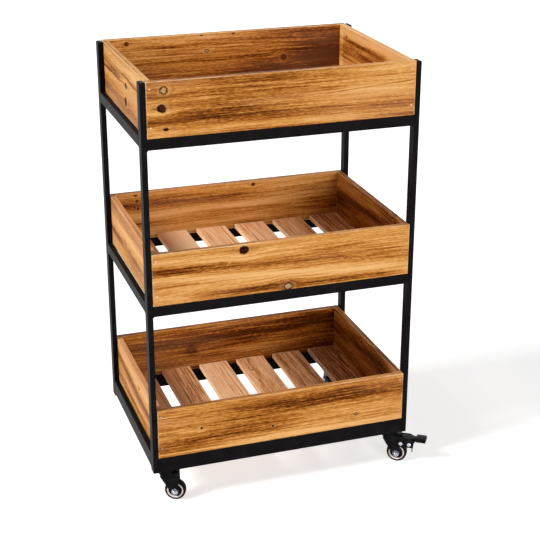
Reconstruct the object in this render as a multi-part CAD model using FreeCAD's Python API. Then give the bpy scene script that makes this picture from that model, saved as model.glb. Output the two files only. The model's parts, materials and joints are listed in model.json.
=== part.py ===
"""Three-tier serving cart: wooden crates on a black tube frame with four swivel casters.

Millimetres. The origin is the floor point under the middle of the frame, +Z is up,
the long side that faces a user is at -Y, and +X is to the user's right.
"""
import FreeCAD, Part
import math
import os
from FreeCAD import Vector

# Overall frame
FRAME_WIDTH = 510.0
FRAME_DEPTH = 350.0
CASTER_HEIGHT = 66.0
TIER_PITCH = 306.0
TIERS = ("bottom", "middle", "top")

# Frame tube
TUBE_THICK = 10.0
TUBE_WALL = 1.2
TUBE_CORNER = 1.5
POST_DEPTH = 20.0
RAIL_HEIGHT = 20.0
BASE_RAIL_HEIGHT = 30.0
BASE_SIDE_LIFT = 5.0
UPPER_SIDE_LIFT = 2.0
POST_BELOW_RIM = 1.0

# Plastic caps and plugs in the post ends
CAP_DOME = 3.0
CAP_ROUND = 2.4
PLUG_FLANGE = 2.0
PLUG_LENGTH = 14.0
PLUG_CLEARANCE = 0.1

# Crates
CRATE_HEIGHT = 98.0
PANEL_THICK = 11.0
CRATE_GAP = 0.5
WOOD_EASE = 1.0
SLAT_COUNT = 6
SLAT_WIDTH = 60.0
SLAT_THICK = 9.0
SLAT_EASE = 1.2
SLAT_SIDE_GAP = 0.3
TONGUE_LENGTH = 3.3
TONGUE_THICK = 4.0
GROOVE_CLEARANCE = 0.2

# Brads that hold the crate corners
BRAD_RADIUS = 0.75
BRAD_HEAD_RADIUS = 1.3
BRAD_HEAD_THICK = 1.0
BRAD_LENGTH = 30.0
BRAD_INSET = 7.0
BRAD_FROM_TOP = 13.0
BRAD_FROM_BOTTOM = 19.0
BRAD_CLEARANCE = 0.05

# Screws that hold each crate down on its front and rear rails
SCREW_RADIUS = 1.9
SCREW_HEAD_RADIUS = 3.2
SCREW_HEAD_THICK = 2.4
SCREW_GRIP = 20.0
SCREW_INSET = 70.0
SCREW_CLEARANCE = 0.1
DRIVER_CLEARANCE = 0.35

# Corner plates and swivels
SWIVEL_INSET_X = 28.0
SWIVEL_INSET_Y = 18.0
PLATE_THICK = 3.0
PLATE_MARGIN = 22.0
RACE_RADIUS = 15.5
RACE_HEIGHT = 7.6
RACE_ROOF = 3.0
RACE_ROUND = 1.2
BALL_RADIUS = 2.0
BALL_COUNT = 10
BALL_CLEARANCE = 0.4
KINGPIN_RADIUS = 4.0
KINGPIN_HEAD_RADIUS = 6.5
KINGPIN_HEAD_THICK = 3.0
KINGPIN_NUT_FLATS = 13.0
KINGPIN_NUT_THICK = 6.5
THREAD_SHOW = 1.5
SWIVEL_GAP = 0.2
FIXED_CLEARANCE = 0.2
RUNNING_FIT = 0.05

# Fork and wheel
WHEEL_RADIUS = 20.0
TRAIL = 17.0
TYRE_WIDTH = 16.0
TYRE_ROUND = 4.5
TYRE_FIT = 0.03
RIM_RADIUS = 15.5
RIM_WALL = 2.5
RIM_WIDTH = 15.0
WEB_WIDTH = 9.0
HUB_RADIUS = 6.0
HUB_GAP = 0.3
FORK_INSIDE = 19.0
FORK_STEEL = 2.0
CROWN_STEEL = 2.5
CROWN_RADIUS = 15.5
FORK_FRONT = 10.0
FORK_BACK = 24.0
FORK_SHOULDER = 16.0
FORK_EYE_RADIUS = 7.5
AXLE_RADIUS = 3.0
AXLE_FLATS = 10.0
AXLE_HEAD_THICK = 4.0
AXLE_NUT_THICK = 5.0

# Foot brake
RIVET_RADIUS = 2.5
RIVET_HEAD_RADIUS = 4.3
RIVET_HEAD_THICK = 2.4
PIVOT_FROM_AXLE = (8.4, 22.8)
STOP_FROM_PIVOT = 16.7
BRACKET_REACH = 10.0
BRACKET_BELOW = 7.0
PEDAL_REACH = 49.0
PEDAL_STEEL = 3.0
PEDAL_ABOVE_PIVOT = 12.2
PEDAL_NECK_WIDTH = 13.0
PEDAL_NECK_DEPTH = 7.0
PEDAL_PAD_LENGTH = 20.0
PEDAL_PAD_WIDTH = 22.0
PEDAL_PAD_THICK = 8.0
PEDAL_PAD_PROUD = 2.0
PEDAL_PAD_ROUND = 2.0
PEDAL_SIDE_GAP = 0.6
PEDAL_CHEEK_STEEL = 1.8
PEDAL_CHEEK_RADIUS = 5.0
SHOE_WIDTH = 12.0
SHOE_DEPTH = 4.6
SHOE_GAP = 2.2
TONGUE_STEEL = 2.0
TONGUE_WIDTH = 9.0
TONGUE_DROP = 22.0
TONGUE_AFTER_STOP = 1.4

# Resting swivel angle of each caster, and which ones carry a foot brake
CASTER_ANGLES = {"front_left": -24.0, "front_right": -34.0, "rear_left": 12.0, "rear_right": 84.0}
BRAKED = ("front_right", "rear_left")
SIDES = {"front_left": (-1, -1), "front_right": (1, -1), "rear_left": (-1, 1), "rear_right": (1, 1)}

# Derived sizes
HALF_WIDTH = FRAME_WIDTH / 2
HALF_DEPTH = FRAME_DEPTH / 2
FRAME_BOTTOM = CASTER_HEIGHT
CRATE_SEATS = {name: FRAME_BOTTOM + BASE_RAIL_HEIGHT + i * TIER_PITCH for i, name in enumerate(TIERS)}
POST_TOP = CRATE_SEATS["top"] + CRATE_HEIGHT - POST_BELOW_RIM
CRATE_WIDTH = FRAME_WIDTH - 2 * (TUBE_THICK + CRATE_GAP)
CRATE_INSIDE = CRATE_WIDTH - 2 * PANEL_THICK
SIDE_PANEL_LENGTH = FRAME_DEPTH - 2 * PANEL_THICK
SLAT_SPAN = CRATE_INSIDE - 2 * SLAT_SIDE_GAP
SLAT_PITCH = (SLAT_SPAN - SLAT_WIDTH) / (SLAT_COUNT - 1)
SCREW_X = CRATE_WIDTH / 2 - SCREW_INSET
SCREW_Y = HALF_DEPTH - TUBE_THICK / 2
CROWN_TOP = -RACE_HEIGHT - SWIVEL_GAP
CROWN_BOTTOM = CROWN_TOP - CROWN_STEEL
AXLE_Z = WHEEL_RADIUS - CASTER_HEIGHT
FORK_HALF = FORK_INSIDE / 2 + FORK_STEEL
BALL_CIRCLE = (KINGPIN_HEAD_RADIUS + RACE_RADIUS) / 2
PIVOT_X = TRAIL + PIVOT_FROM_AXLE[0]
PIVOT_Z = AXLE_Z + PIVOT_FROM_AXLE[1]
STOP_X = PIVOT_X + STOP_FROM_PIVOT


def block(x_range, y_range, z_range):
    """A box between two limits on each axis."""
    low = Vector(x_range[0], y_range[0], z_range[0])
    return Part.makeBox(x_range[1] - low.x, y_range[1] - low.y, z_range[1] - low.z, low)


def rod(radius, start, end):
    """A round bar between two points."""
    axis = end - start
    return Part.makeCylinder(radius, axis.Length, start, axis)


def edges_along(shape, axis):
    """The straight edges of a shape that run along one axis."""
    found = []
    for edge in shape.Edges:
        if len(edge.Vertexes) == 2:
            run = edge.Vertexes[1].Point - edge.Vertexes[0].Point
            if abs(abs(run.dot(axis)) - run.Length) < 1e-6:
                found.append(edge)
    return found


def tube(x_range, y_range, z_range, axis):
    """A rectangular tube with rounded corners that runs along one axis."""
    outer = block(x_range, y_range, z_range)
    outer = outer.makeFillet(TUBE_CORNER, edges_along(outer, axis))
    inset = [TUBE_WALL * (1 - abs(component)) for component in axis]
    limits = [(r[0] + d, r[1] - d) for r, d in zip((x_range, y_range, z_range), inset)]
    inner = block(*limits)
    inner = inner.makeFillet(TUBE_CORNER - TUBE_WALL, edges_along(inner, axis))
    return outer.cut(inner)


def hexagon(flats, start, end):
    """A hexagonal bar between two points along Y or Z."""
    axis = end - start
    radius = flats / math.sqrt(3)
    side = Vector(1, 0, 0)
    up = axis.cross(side).normalize()
    turns = [math.radians(60 * i) for i in range(7)]
    corners = [start + side * (radius * math.cos(t)) + up * (radius * math.sin(t)) for t in turns]
    return Part.Face(Part.makePolygon(corners)).extrude(axis)


def plate_xz(points, y_range):
    """A flat plate with an outline given by (x, z) corners, between two Y limits."""
    corners = [Vector(x, y_range[0], z) for x, z in points]
    face = Part.Face(Part.makePolygon(corners + corners[:1]))
    return face.extrude(Vector(0, y_range[1] - y_range[0], 0))


def turned(profile, centre):
    """A ring made by turning an (r, y) outline about a line along Y through a centre."""
    corners = [centre + Vector(r, y, 0) for r, y in profile]
    face = Part.Face(Part.makePolygon(corners + corners[:1]))
    return face.revolve(centre, Vector(0, 1, 0), 360)


def frame_post(x_side, y_side):
    """One upright tube, between its bottom plug and its top cap."""
    x_out, y_out = x_side * HALF_WIDTH, y_side * HALF_DEPTH
    x_range = sorted((x_out, x_out - x_side * TUBE_THICK))
    y_range = sorted((y_out, y_out - y_side * POST_DEPTH))
    z_range = (FRAME_BOTTOM + PLUG_FLANGE, POST_TOP - CAP_DOME)
    return tube(x_range, y_range, z_range, Vector(0, 0, 1))


def post_end(x_side, y_side, top):
    """A plastic cap or plug that closes one end of a post."""
    x_mid = x_side * (HALF_WIDTH - TUBE_THICK / 2)
    y_mid = y_side * (HALF_DEPTH - POST_DEPTH / 2)
    half_x, half_y = TUBE_THICK / 2, POST_DEPTH / 2
    plug_x = half_x - TUBE_WALL - PLUG_CLEARANCE
    plug_y = half_y - TUBE_WALL - PLUG_CLEARANCE
    seat = POST_TOP - CAP_DOME if top else FRAME_BOTTOM + PLUG_FLANGE
    end = POST_TOP if top else FRAME_BOTTOM
    plug_end = seat - PLUG_LENGTH if top else seat + PLUG_LENGTH
    flange = block((x_mid - half_x, x_mid + half_x), (y_mid - half_y, y_mid + half_y), sorted((seat, end)))
    flange = flange.makeFillet(TUBE_CORNER, edges_along(flange, Vector(0, 0, 1)))
    if top:
        rim = [e for e in flange.Edges if all(abs(v.Z - POST_TOP) < 1e-6 for v in e.Vertexes)]
        flange = flange.makeFillet(min(CAP_ROUND, 0.8 * CAP_DOME), rim)
    plug = block((x_mid - plug_x, x_mid + plug_x), (y_mid - plug_y, y_mid + plug_y), sorted((seat, plug_end)))
    return flange.fuse(plug).removeSplitter()


def rail_levels(tier, side_rail):
    """The lower and upper faces of a tier's rails."""
    seat = CRATE_SEATS[tier]
    height, lift = (BASE_RAIL_HEIGHT, BASE_SIDE_LIFT) if tier == "bottom" else (RAIL_HEIGHT, UPPER_SIDE_LIFT)
    high = seat + lift if side_rail else seat
    return high - height, high


def long_rail(tier, y_side):
    """A front or rear rail, with holes for the crate screws and their driver."""
    z_low, z_high = rail_levels(tier, False)
    y_out = y_side * HALF_DEPTH
    half = HALF_WIDTH - TUBE_THICK
    y_range = sorted((y_out, y_out - y_side * TUBE_THICK))
    rail = tube((-half, half), y_range, (z_low, z_high), Vector(1, 0, 0))
    for x in (-SCREW_X, SCREW_X):
        middle = Vector(x, y_side * SCREW_Y, (z_low + z_high) / 2)
        shank = rod(SCREW_RADIUS + SCREW_CLEARANCE, middle, Vector(middle.x, middle.y, z_high))
        access = rod(SCREW_HEAD_RADIUS + DRIVER_CLEARANCE, Vector(middle.x, middle.y, z_low), middle)
        rail = rail.cut(shank).cut(access)
    return rail


def side_rail(tier, x_side):
    """A left or right rail between a front and a rear post."""
    x_out = x_side * HALF_WIDTH
    half = HALF_DEPTH - POST_DEPTH
    x_range = sorted((x_out, x_out - x_side * TUBE_THICK))
    return tube(x_range, (-half, half), rail_levels(tier, True), Vector(0, 1, 0))


def brad_places(tier):
    """Where the brads enter a crate: x, outer y, z and the side they enter from."""
    seat = CRATE_SEATS[tier]
    heights = (seat + BRAD_FROM_BOTTOM, seat + CRATE_HEIGHT - BRAD_FROM_TOP)
    x = CRATE_WIDTH / 2 - BRAD_INSET
    return [(sx * x, sy * HALF_DEPTH, z, sy) for sx in (-1, 1) for sy in (-1, 1) for z in heights]


def brad(place, grow=0.0):
    """One brad, or with grow the hole that it needs."""
    x, y, z, side = place
    inward = Vector(0, -side, 0)
    outer = Vector(x, y, z)
    shank = rod(BRAD_RADIUS + grow, outer, outer + inward * (BRAD_LENGTH + grow))
    head = rod(BRAD_HEAD_RADIUS + grow, outer, outer + inward * (BRAD_HEAD_THICK + grow))
    return shank.fuse(head).removeSplitter()


def screw_places(tier):
    """The axis points of a crate's screws on its seat."""
    return [Vector(sx * SCREW_X, sy * SCREW_Y, CRATE_SEATS[tier]) for sx in (-1, 1) for sy in (-1, 1)]


def crate_screw(place):
    """One pan-head screw, its head under the rail's upper wall."""
    under = place - Vector(0, 0, TUBE_WALL)
    shank = rod(SCREW_RADIUS, under, place + Vector(0, 0, SCREW_GRIP))
    head = rod(SCREW_HEAD_RADIUS, under - Vector(0, 0, SCREW_HEAD_THICK), under)
    return shank.fuse(head).removeSplitter()


def cut_brad_holes(panel, tier):
    """Cut every brad hole of a crate that reaches into this panel."""
    for place in brad_places(tier):
        hole = brad(place, BRAD_CLEARANCE)
        if hole.BoundBox.intersect(panel.BoundBox):
            panel = panel.cut(hole)
    return panel


def long_panel(tier, y_side):
    """A crate's front or back panel: eased edges, slat groove, brad and screw holes."""
    seat = CRATE_SEATS[tier]
    y_out = y_side * HALF_DEPTH
    y_in = y_out - y_side * PANEL_THICK
    half = CRATE_WIDTH / 2
    panel = block((-half, half), sorted((y_out, y_in)), (seat, seat + CRATE_HEIGHT))
    panel = panel.makeFillet(WOOD_EASE, panel.Edges)
    middle = seat + SLAT_THICK / 2
    reach = TONGUE_THICK / 2 + GROOVE_CLEARANCE
    bottom = y_in + y_side * (TONGUE_LENGTH + GROOVE_CLEARANCE)
    groove_half = CRATE_INSIDE / 2
    groove = block((-groove_half, groove_half), sorted((y_in, bottom)), (middle - reach, middle + reach))
    panel = panel.cut(groove)
    for place in screw_places(tier):
        if place.y * y_side > 0:
            top = place + Vector(0, 0, SCREW_GRIP + SCREW_CLEARANCE)
            panel = panel.cut(rod(SCREW_RADIUS + SCREW_CLEARANCE, place, top))
    return cut_brad_holes(panel, tier)


def side_panel(tier, x_side):
    """A crate's left or right panel, held between the long panels."""
    seat = CRATE_SEATS[tier]
    x_out = x_side * CRATE_WIDTH / 2
    x_range = sorted((x_out, x_out - x_side * PANEL_THICK))
    half = SIDE_PANEL_LENGTH / 2
    panel = block(x_range, (-half, half), (seat, seat + CRATE_HEIGHT))
    panel = panel.makeFillet(WOOD_EASE, edges_along(panel, Vector(0, 1, 0)))
    return cut_brad_holes(panel, tier)


def slat(tier, index):
    """One floor slat with a tongue at each end."""
    seat = CRATE_SEATS[tier]
    x = -SLAT_SPAN / 2 + SLAT_WIDTH / 2 + index * SLAT_PITCH
    half = SIDE_PANEL_LENGTH / 2
    x_range = (x - SLAT_WIDTH / 2, x + SLAT_WIDTH / 2)
    board = block(x_range, (-half, half), (seat, seat + SLAT_THICK))
    board = board.makeFillet(SLAT_EASE, edges_along(board, Vector(0, 1, 0)))
    middle = seat + SLAT_THICK / 2
    reach = half + TONGUE_LENGTH
    tongue_x = (x_range[0] + SLAT_EASE, x_range[1] - SLAT_EASE)
    tongue = block(tongue_x, (-reach, reach), (middle - TONGUE_THICK / 2, middle + TONGUE_THICK / 2))
    return board.fuse(tongue).removeSplitter()


def swivel_centre(corner):
    """The swivel axis of a caster, at the level of the frame's underside."""
    x_side, y_side = SIDES[corner]
    return Vector(x_side * (HALF_WIDTH - SWIVEL_INSET_X), y_side * (HALF_DEPTH - SWIVEL_INSET_Y), FRAME_BOTTOM)


def corner_plate(corner):
    """A steel plate in a bottom corner of the frame that takes the swivel's kingpin."""
    x_side, y_side = SIDES[corner]
    centre = swivel_centre(corner)
    x_range = sorted((x_side * (HALF_WIDTH - TUBE_THICK), centre.x - x_side * PLATE_MARGIN))
    y_range = sorted((y_side * (HALF_DEPTH - TUBE_THICK), centre.y - y_side * PLATE_MARGIN))
    plate = block(x_range, y_range, (FRAME_BOTTOM, FRAME_BOTTOM + PLATE_THICK))
    hole = rod(KINGPIN_RADIUS + FIXED_CLEARANCE, centre, centre + Vector(0, 0, PLATE_THICK))
    return plate.cut(hole)


def upper_race():
    """The fixed cup over a swivel's balls."""
    down = Vector(0, 0, -RACE_HEIGHT)
    race = rod(RACE_RADIUS, Vector(0, 0, 0), down)
    rim = [e for e in race.Edges if len(e.Vertexes) == 1 and abs(e.Vertexes[0].Z) < 1e-6]
    race = race.makeFillet(RACE_ROUND, rim)
    room = BALL_RADIUS + BALL_CLEARANCE
    roof = Vector(0, 0, -RACE_ROOF)
    channel = rod(BALL_CIRCLE + room, down, roof).cut(rod(BALL_CIRCLE - room, down, roof))
    bore = rod(KINGPIN_RADIUS + FIXED_CLEARANCE, Vector(0, 0, 0), down)
    return race.cut(channel).cut(bore)


def swivel_balls():
    """The ring of loose balls between the cup and the fork's crown."""
    height = -(RACE_ROOF + RACE_HEIGHT) / 2
    turns = [2 * math.pi * i / BALL_COUNT for i in range(BALL_COUNT)]
    centres = [Vector(BALL_CIRCLE * math.cos(t), BALL_CIRCLE * math.sin(t), height) for t in turns]
    return [Part.makeSphere(BALL_RADIUS, centre) for centre in centres]


def kingpin():
    """The bolt on which a fork swivels, and its nut above the corner plate."""
    head_top = Vector(0, 0, CROWN_BOTTOM - SWIVEL_GAP)
    nut_low = Vector(0, 0, PLATE_THICK)
    nut_high = nut_low + Vector(0, 0, KINGPIN_NUT_THICK)
    shank = rod(KINGPIN_RADIUS, head_top, nut_high + Vector(0, 0, THREAD_SHOW))
    head = rod(KINGPIN_HEAD_RADIUS, head_top - Vector(0, 0, KINGPIN_HEAD_THICK), head_top)
    nut = hexagon(KINGPIN_NUT_FLATS, nut_low, nut_high)
    nut = nut.cut(rod(KINGPIN_RADIUS + RUNNING_FIT, nut_low, nut_high))
    return [shank.fuse(head).removeSplitter(), nut]


def tangent_point(point, side):
    """Where a line from an (x, z) point touches the fork's rounded eye."""
    dx, dz = point[0] - TRAIL, point[1] - AXLE_Z
    spread = math.acos(FORK_EYE_RADIUS / math.hypot(dx, dz))
    turn = math.atan2(dz, dx) + side * spread
    return TRAIL + FORK_EYE_RADIUS * math.cos(turn), AXLE_Z + FORK_EYE_RADIUS * math.sin(turn)


def fork_cheek(y_range, braked):
    """One side of a fork, tapered to the axle and lengthened behind where it has a brake."""
    front = (-FORK_FRONT, -FORK_SHOULDER)
    back = (FORK_BACK, -FORK_SHOULDER)
    outline = [(-FORK_FRONT, CROWN_BOTTOM), (FORK_BACK, CROWN_BOTTOM), back,
               tangent_point(back, -1), tangent_point(front, 1), front]
    cheek = plate_xz(outline, y_range)
    eye_centre = Vector(TRAIL, y_range[0], AXLE_Z)
    cheek = cheek.fuse(rod(FORK_EYE_RADIUS, eye_centre, Vector(TRAIL, y_range[1], AXLE_Z)))
    if braked:
        end = STOP_X + BRACKET_REACH
        low = PIVOT_Z - BRACKET_BELOW
        bracket = [(TRAIL, CROWN_BOTTOM), (STOP_X, CROWN_BOTTOM), (end, -FORK_SHOULDER),
                   (end - FORK_STEEL, low), (TRAIL, low)]
        cheek = cheek.fuse(plate_xz(bracket, y_range))
    return cheek


def fork(braked):
    """A pressed steel fork: round crown, bridge and two cheeks."""
    crown = rod(CROWN_RADIUS, Vector(0, 0, CROWN_BOTTOM), Vector(0, 0, CROWN_TOP))
    bridge = block((0, FORK_BACK), (-FORK_HALF, FORK_HALF), (CROWN_BOTTOM, CROWN_TOP))
    body = crown.fuse(bridge)
    inner = FORK_INSIDE / 2
    for y_range in ((-FORK_HALF, -inner), (inner, FORK_HALF)):
        body = body.fuse(fork_cheek(y_range, braked))
    body = body.cut(rod(KINGPIN_RADIUS + RUNNING_FIT, Vector(0, 0, CROWN_BOTTOM), Vector(0, 0, CROWN_TOP)))
    holes = [(TRAIL, AXLE_Z, AXLE_RADIUS)]
    if braked:
        holes += [(PIVOT_X, PIVOT_Z, RIVET_RADIUS), (STOP_X, PIVOT_Z, RIVET_RADIUS)]
    for x, z, radius in holes:
        body = body.cut(rod(radius + RUNNING_FIT, Vector(x, -FORK_HALF, z), Vector(x, FORK_HALF, z)))
    return body.removeSplitter()


def axle():
    """The wheel's bolt through the fork, and its nut on the near cheek."""
    near, far = Vector(TRAIL, -FORK_HALF, AXLE_Z), Vector(TRAIL, FORK_HALF, AXLE_Z)
    nut_end = near - Vector(0, AXLE_NUT_THICK, 0)
    shank = rod(AXLE_RADIUS, nut_end - Vector(0, THREAD_SHOW, 0), far)
    head = hexagon(AXLE_FLATS, far, far + Vector(0, AXLE_HEAD_THICK, 0))
    nut = hexagon(AXLE_FLATS, nut_end, near).cut(rod(AXLE_RADIUS + RUNNING_FIT, nut_end, near))
    return [shank.fuse(head).removeSplitter(), nut]


def wheel_core():
    """The plastic wheel centre: bored hub, thin web and rim."""
    bore = AXLE_RADIUS + RUNNING_FIT
    hub, web, rim = FORK_INSIDE / 2 - HUB_GAP, WEB_WIDTH / 2, RIM_WIDTH / 2
    inside = RIM_RADIUS - RIM_WALL
    half = [(bore, hub), (HUB_RADIUS, hub), (HUB_RADIUS, web), (inside, web), (inside, rim), (RIM_RADIUS, rim)]
    profile = half + [(r, -y) for r, y in reversed(half)]
    return turned(profile, Vector(TRAIL, 0, AXLE_Z))


def tyre():
    """The tyre on a wheel's rim, with rounded shoulders."""
    inner, half = RIM_RADIUS + TYRE_FIT, TYRE_WIDTH / 2
    profile = [(inner, -half), (WHEEL_RADIUS, -half), (WHEEL_RADIUS, half), (inner, half)]
    ring = turned(profile, Vector(TRAIL, 0, AXLE_Z))
    shoulders = [e for e in ring.Edges if len(e.Vertexes) == 1 and abs(e.Length / math.tau - WHEEL_RADIUS) < 1e-4]
    return ring.makeFillet(min(TYRE_ROUND, 0.9 * (WHEEL_RADIUS - inner)), shoulders)


def brake_rivets():
    """The pivot and stop rivets through a braked fork."""
    rivets = []
    for x in (PIVOT_X, STOP_X):
        near, far = Vector(x, -FORK_HALF, PIVOT_Z), Vector(x, FORK_HALF, PIVOT_Z)
        rivet = rod(RIVET_RADIUS, near, far)
        for seat, outward in ((near, -1), (far, 1)):
            end = seat + Vector(0, outward * RIVET_HEAD_THICK, 0)
            head = rod(RIVET_HEAD_RADIUS, seat, end)
            crown = [e for e in head.Edges if len(e.Vertexes) == 1 and abs(e.Vertexes[0].Y - end.y) < 1e-6]
            rivet = rivet.fuse(head.makeFillet(0.9 * RIVET_HEAD_THICK, crown))
        rivets.append(rivet.removeSplitter())
    return rivets


def brake_pedal():
    """A foot pedal: neck and tread pad, two pivot lugs, brake shoe and tail tongue."""
    half = FORK_INSIDE / 2 - PEDAL_SIDE_GAP
    top = PIVOT_Z + PEDAL_ABOVE_PIVOT
    under = top - PEDAL_STEEL
    end = PIVOT_X + PEDAL_REACH
    pad_start = end - PEDAL_PAD_LENGTH
    shoe_x = PIVOT_X + RIVET_RADIUS + PEDAL_CHEEK_RADIUS
    tail_x = STOP_X + RIVET_RADIUS + TONGUE_AFTER_STOP
    pedal = block((PIVOT_X, tail_x + TONGUE_STEEL), (-half, half), (under, top))
    neck_range = (tail_x + TONGUE_STEEL, pad_start + PEDAL_PAD_LENGTH / 2)
    neck = block(neck_range, (-PEDAL_NECK_WIDTH / 2, PEDAL_NECK_WIDTH / 2), (top - PEDAL_NECK_DEPTH, top))
    pad_half = PEDAL_PAD_WIDTH / 2
    pad_top = top + PEDAL_PAD_PROUD
    pad = block((pad_start, end), (-pad_half, pad_half), (pad_top - PEDAL_PAD_THICK, pad_top))
    pad = pad.makeFillet(min(PEDAL_PAD_ROUND, PEDAL_PAD_THICK / 3), pad.Edges)
    pedal = pedal.fuse(neck).fuse(pad)
    for y_range in ((-half, -half + PEDAL_CHEEK_STEEL), (half - PEDAL_CHEEK_STEEL, half)):
        lug = block((PIVOT_X, PIVOT_X + PEDAL_CHEEK_RADIUS), y_range, (PIVOT_Z, under))
        eye = rod(PEDAL_CHEEK_RADIUS, Vector(PIVOT_X, y_range[0], PIVOT_Z), Vector(PIVOT_X, y_range[1], PIVOT_Z))
        pedal = pedal.fuse(lug).fuse(eye)
    shoe_low = AXLE_Z + math.sqrt((WHEEL_RADIUS + SHOE_GAP) ** 2 - (shoe_x - TRAIL) ** 2)
    shoe = block((shoe_x, shoe_x + SHOE_DEPTH), (-SHOE_WIDTH / 2, SHOE_WIDTH / 2), (shoe_low, under))
    tail_low = PIVOT_Z - TONGUE_DROP
    root = TONGUE_WIDTH / 2
    tail_outline = [Vector(tail_x, y, z) for y, z in
                    ((-root, under), (root, under), (root, PIVOT_Z), (0, tail_low), (-root, PIVOT_Z))]
    tail = Part.Face(Part.makePolygon(tail_outline + tail_outline[:1])).extrude(Vector(TONGUE_STEEL, 0, 0))
    pedal = pedal.fuse(shoe).fuse(tail)
    axis_ends = Vector(PIVOT_X, -half, PIVOT_Z), Vector(PIVOT_X, half, PIVOT_Z)
    return pedal.cut(rod(RIVET_RADIUS + RUNNING_FIT, *axis_ends)).removeSplitter()


def at_corner(shape, corner, turn=True):
    """A caster piece moved from the swivel's own axes to its corner of the frame."""
    placed = shape.copy()
    if turn:
        placed.rotate(Vector(0, 0, 0), Vector(0, 0, 1), CASTER_ANGLES[corner])
    placed.translate(swivel_centre(corner))
    return placed


def frame_nodes():
    """Posts, rails and the plastic ends of the posts."""
    nodes = {}
    for corner, (x_side, y_side) in SIDES.items():
        nodes[f"{corner}_post"] = [frame_post(x_side, y_side)]
    for tier in TIERS:
        nodes[f"{tier}_front_rail"] = [long_rail(tier, -1)]
        nodes[f"{tier}_rear_rail"] = [long_rail(tier, 1)]
        nodes[f"{tier}_left_rail"] = [side_rail(tier, -1)]
        nodes[f"{tier}_right_rail"] = [side_rail(tier, 1)]
    nodes["post_caps"] = [post_end(*sides, True) for sides in SIDES.values()]
    nodes["post_plugs"] = [post_end(*sides, False) for sides in SIDES.values()]
    return nodes


def crate_nodes():
    """Panels, slats, brads and screws of the three crates."""
    nodes = {}
    for tier in TIERS:
        nodes[f"{tier}_front_panel"] = [long_panel(tier, -1)]
        nodes[f"{tier}_back_panel"] = [long_panel(tier, 1)]
        nodes[f"{tier}_left_panel"] = [side_panel(tier, -1)]
        nodes[f"{tier}_right_panel"] = [side_panel(tier, 1)]
        nodes[f"{tier}_slats"] = [slat(tier, index) for index in range(SLAT_COUNT)]
    nodes["crate_brads"] = [brad(place) for tier in TIERS for place in brad_places(tier)]
    nodes["crate_screws"] = [crate_screw(place) for tier in TIERS for place in screw_places(tier)]
    return nodes


def caster_nodes():
    """Corner plates, swivels, forks, wheels and foot brakes."""
    nodes = {"corner_plates": [corner_plate(corner) for corner in SIDES]}
    nodes["swivel_races"] = [at_corner(upper_race(), corner, False) for corner in SIDES]
    nodes["swivel_balls"] = [at_corner(ball, corner, False) for corner in SIDES for ball in swivel_balls()]
    nodes["swivel_kingpins"] = [at_corner(piece, corner, False) for corner in SIDES for piece in kingpin()]
    for corner in SIDES:
        pieces = {"fork": [fork(corner in BRAKED)], "axle": axle(), "wheel": [wheel_core()], "tyre": [tyre()]}
        if corner in BRAKED:
            pieces["brake_rivets"] = brake_rivets()
            pieces["brake_pedal"] = [brake_pedal()]
        for name, solids in pieces.items():
            nodes[f"{corner}_{name}"] = [at_corner(solid, corner) for solid in solids]
    return nodes


def main():
    """Build every node and write one file for each."""
    os.makedirs("parts", exist_ok=True)
    nodes = {**frame_nodes(), **crate_nodes(), **caster_nodes()}
    for name, solids in nodes.items():
        shape = solids[0] if len(solids) == 1 else Part.makeCompound(solids)
        shape.exportStep(f"parts/{name}.step")
        print(name, len(shape.Solids), shape.isValid(), round(shape.Volume, 1))


main()
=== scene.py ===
"""Looks of a three-tier serving cart: stained softwood crates on a black tube frame with casters.

Metres. The cart's own axes: +Z is up, the user stands at -Y, and +X is to the user's right.
"""
from __future__ import annotations

import json
import logging
import math
from dataclasses import dataclass
from enum import Enum
from typing import Callable, Iterable, Sequence, Union

import bpy
from mathutils import Matrix, Vector

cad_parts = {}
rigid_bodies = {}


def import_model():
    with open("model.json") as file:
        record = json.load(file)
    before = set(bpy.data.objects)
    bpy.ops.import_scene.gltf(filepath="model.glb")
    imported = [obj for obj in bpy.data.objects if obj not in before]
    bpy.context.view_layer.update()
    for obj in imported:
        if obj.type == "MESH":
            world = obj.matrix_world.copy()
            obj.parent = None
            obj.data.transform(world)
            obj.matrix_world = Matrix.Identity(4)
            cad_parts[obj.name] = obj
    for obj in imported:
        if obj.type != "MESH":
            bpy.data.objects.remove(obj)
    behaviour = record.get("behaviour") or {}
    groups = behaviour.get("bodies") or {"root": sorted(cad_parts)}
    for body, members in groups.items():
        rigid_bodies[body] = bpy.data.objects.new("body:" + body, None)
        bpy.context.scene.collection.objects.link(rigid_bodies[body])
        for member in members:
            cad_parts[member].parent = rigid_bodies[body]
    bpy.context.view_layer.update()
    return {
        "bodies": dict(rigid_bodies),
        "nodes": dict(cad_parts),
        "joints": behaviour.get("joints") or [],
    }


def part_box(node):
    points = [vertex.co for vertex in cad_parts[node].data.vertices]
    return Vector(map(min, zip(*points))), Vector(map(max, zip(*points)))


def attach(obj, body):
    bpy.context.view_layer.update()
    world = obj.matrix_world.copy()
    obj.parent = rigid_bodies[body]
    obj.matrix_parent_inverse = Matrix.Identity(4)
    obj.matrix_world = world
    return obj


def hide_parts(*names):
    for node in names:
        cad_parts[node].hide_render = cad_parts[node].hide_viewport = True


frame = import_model()

LOG = logging.getLogger("serving_cart")
MM = 0.001
UP = Vector((0.0, 0.0, 1.0))
# How near points are merged, in a copy of a CAD node and in a new piece
CAD_MERGE = 0.002 * MM
MERGE = 0.001 * MM
# Faces that count as flat, edges that are rounded, and edges that are shaded smooth
FLAT = math.radians(1.0)
SHARP = math.radians(40.0)
SMOOTH = math.radians(38.0)
ROUND_STEPS = 2
# The least share of a face's normal that lies along the axis it looks along
FACING = 0.9
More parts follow.
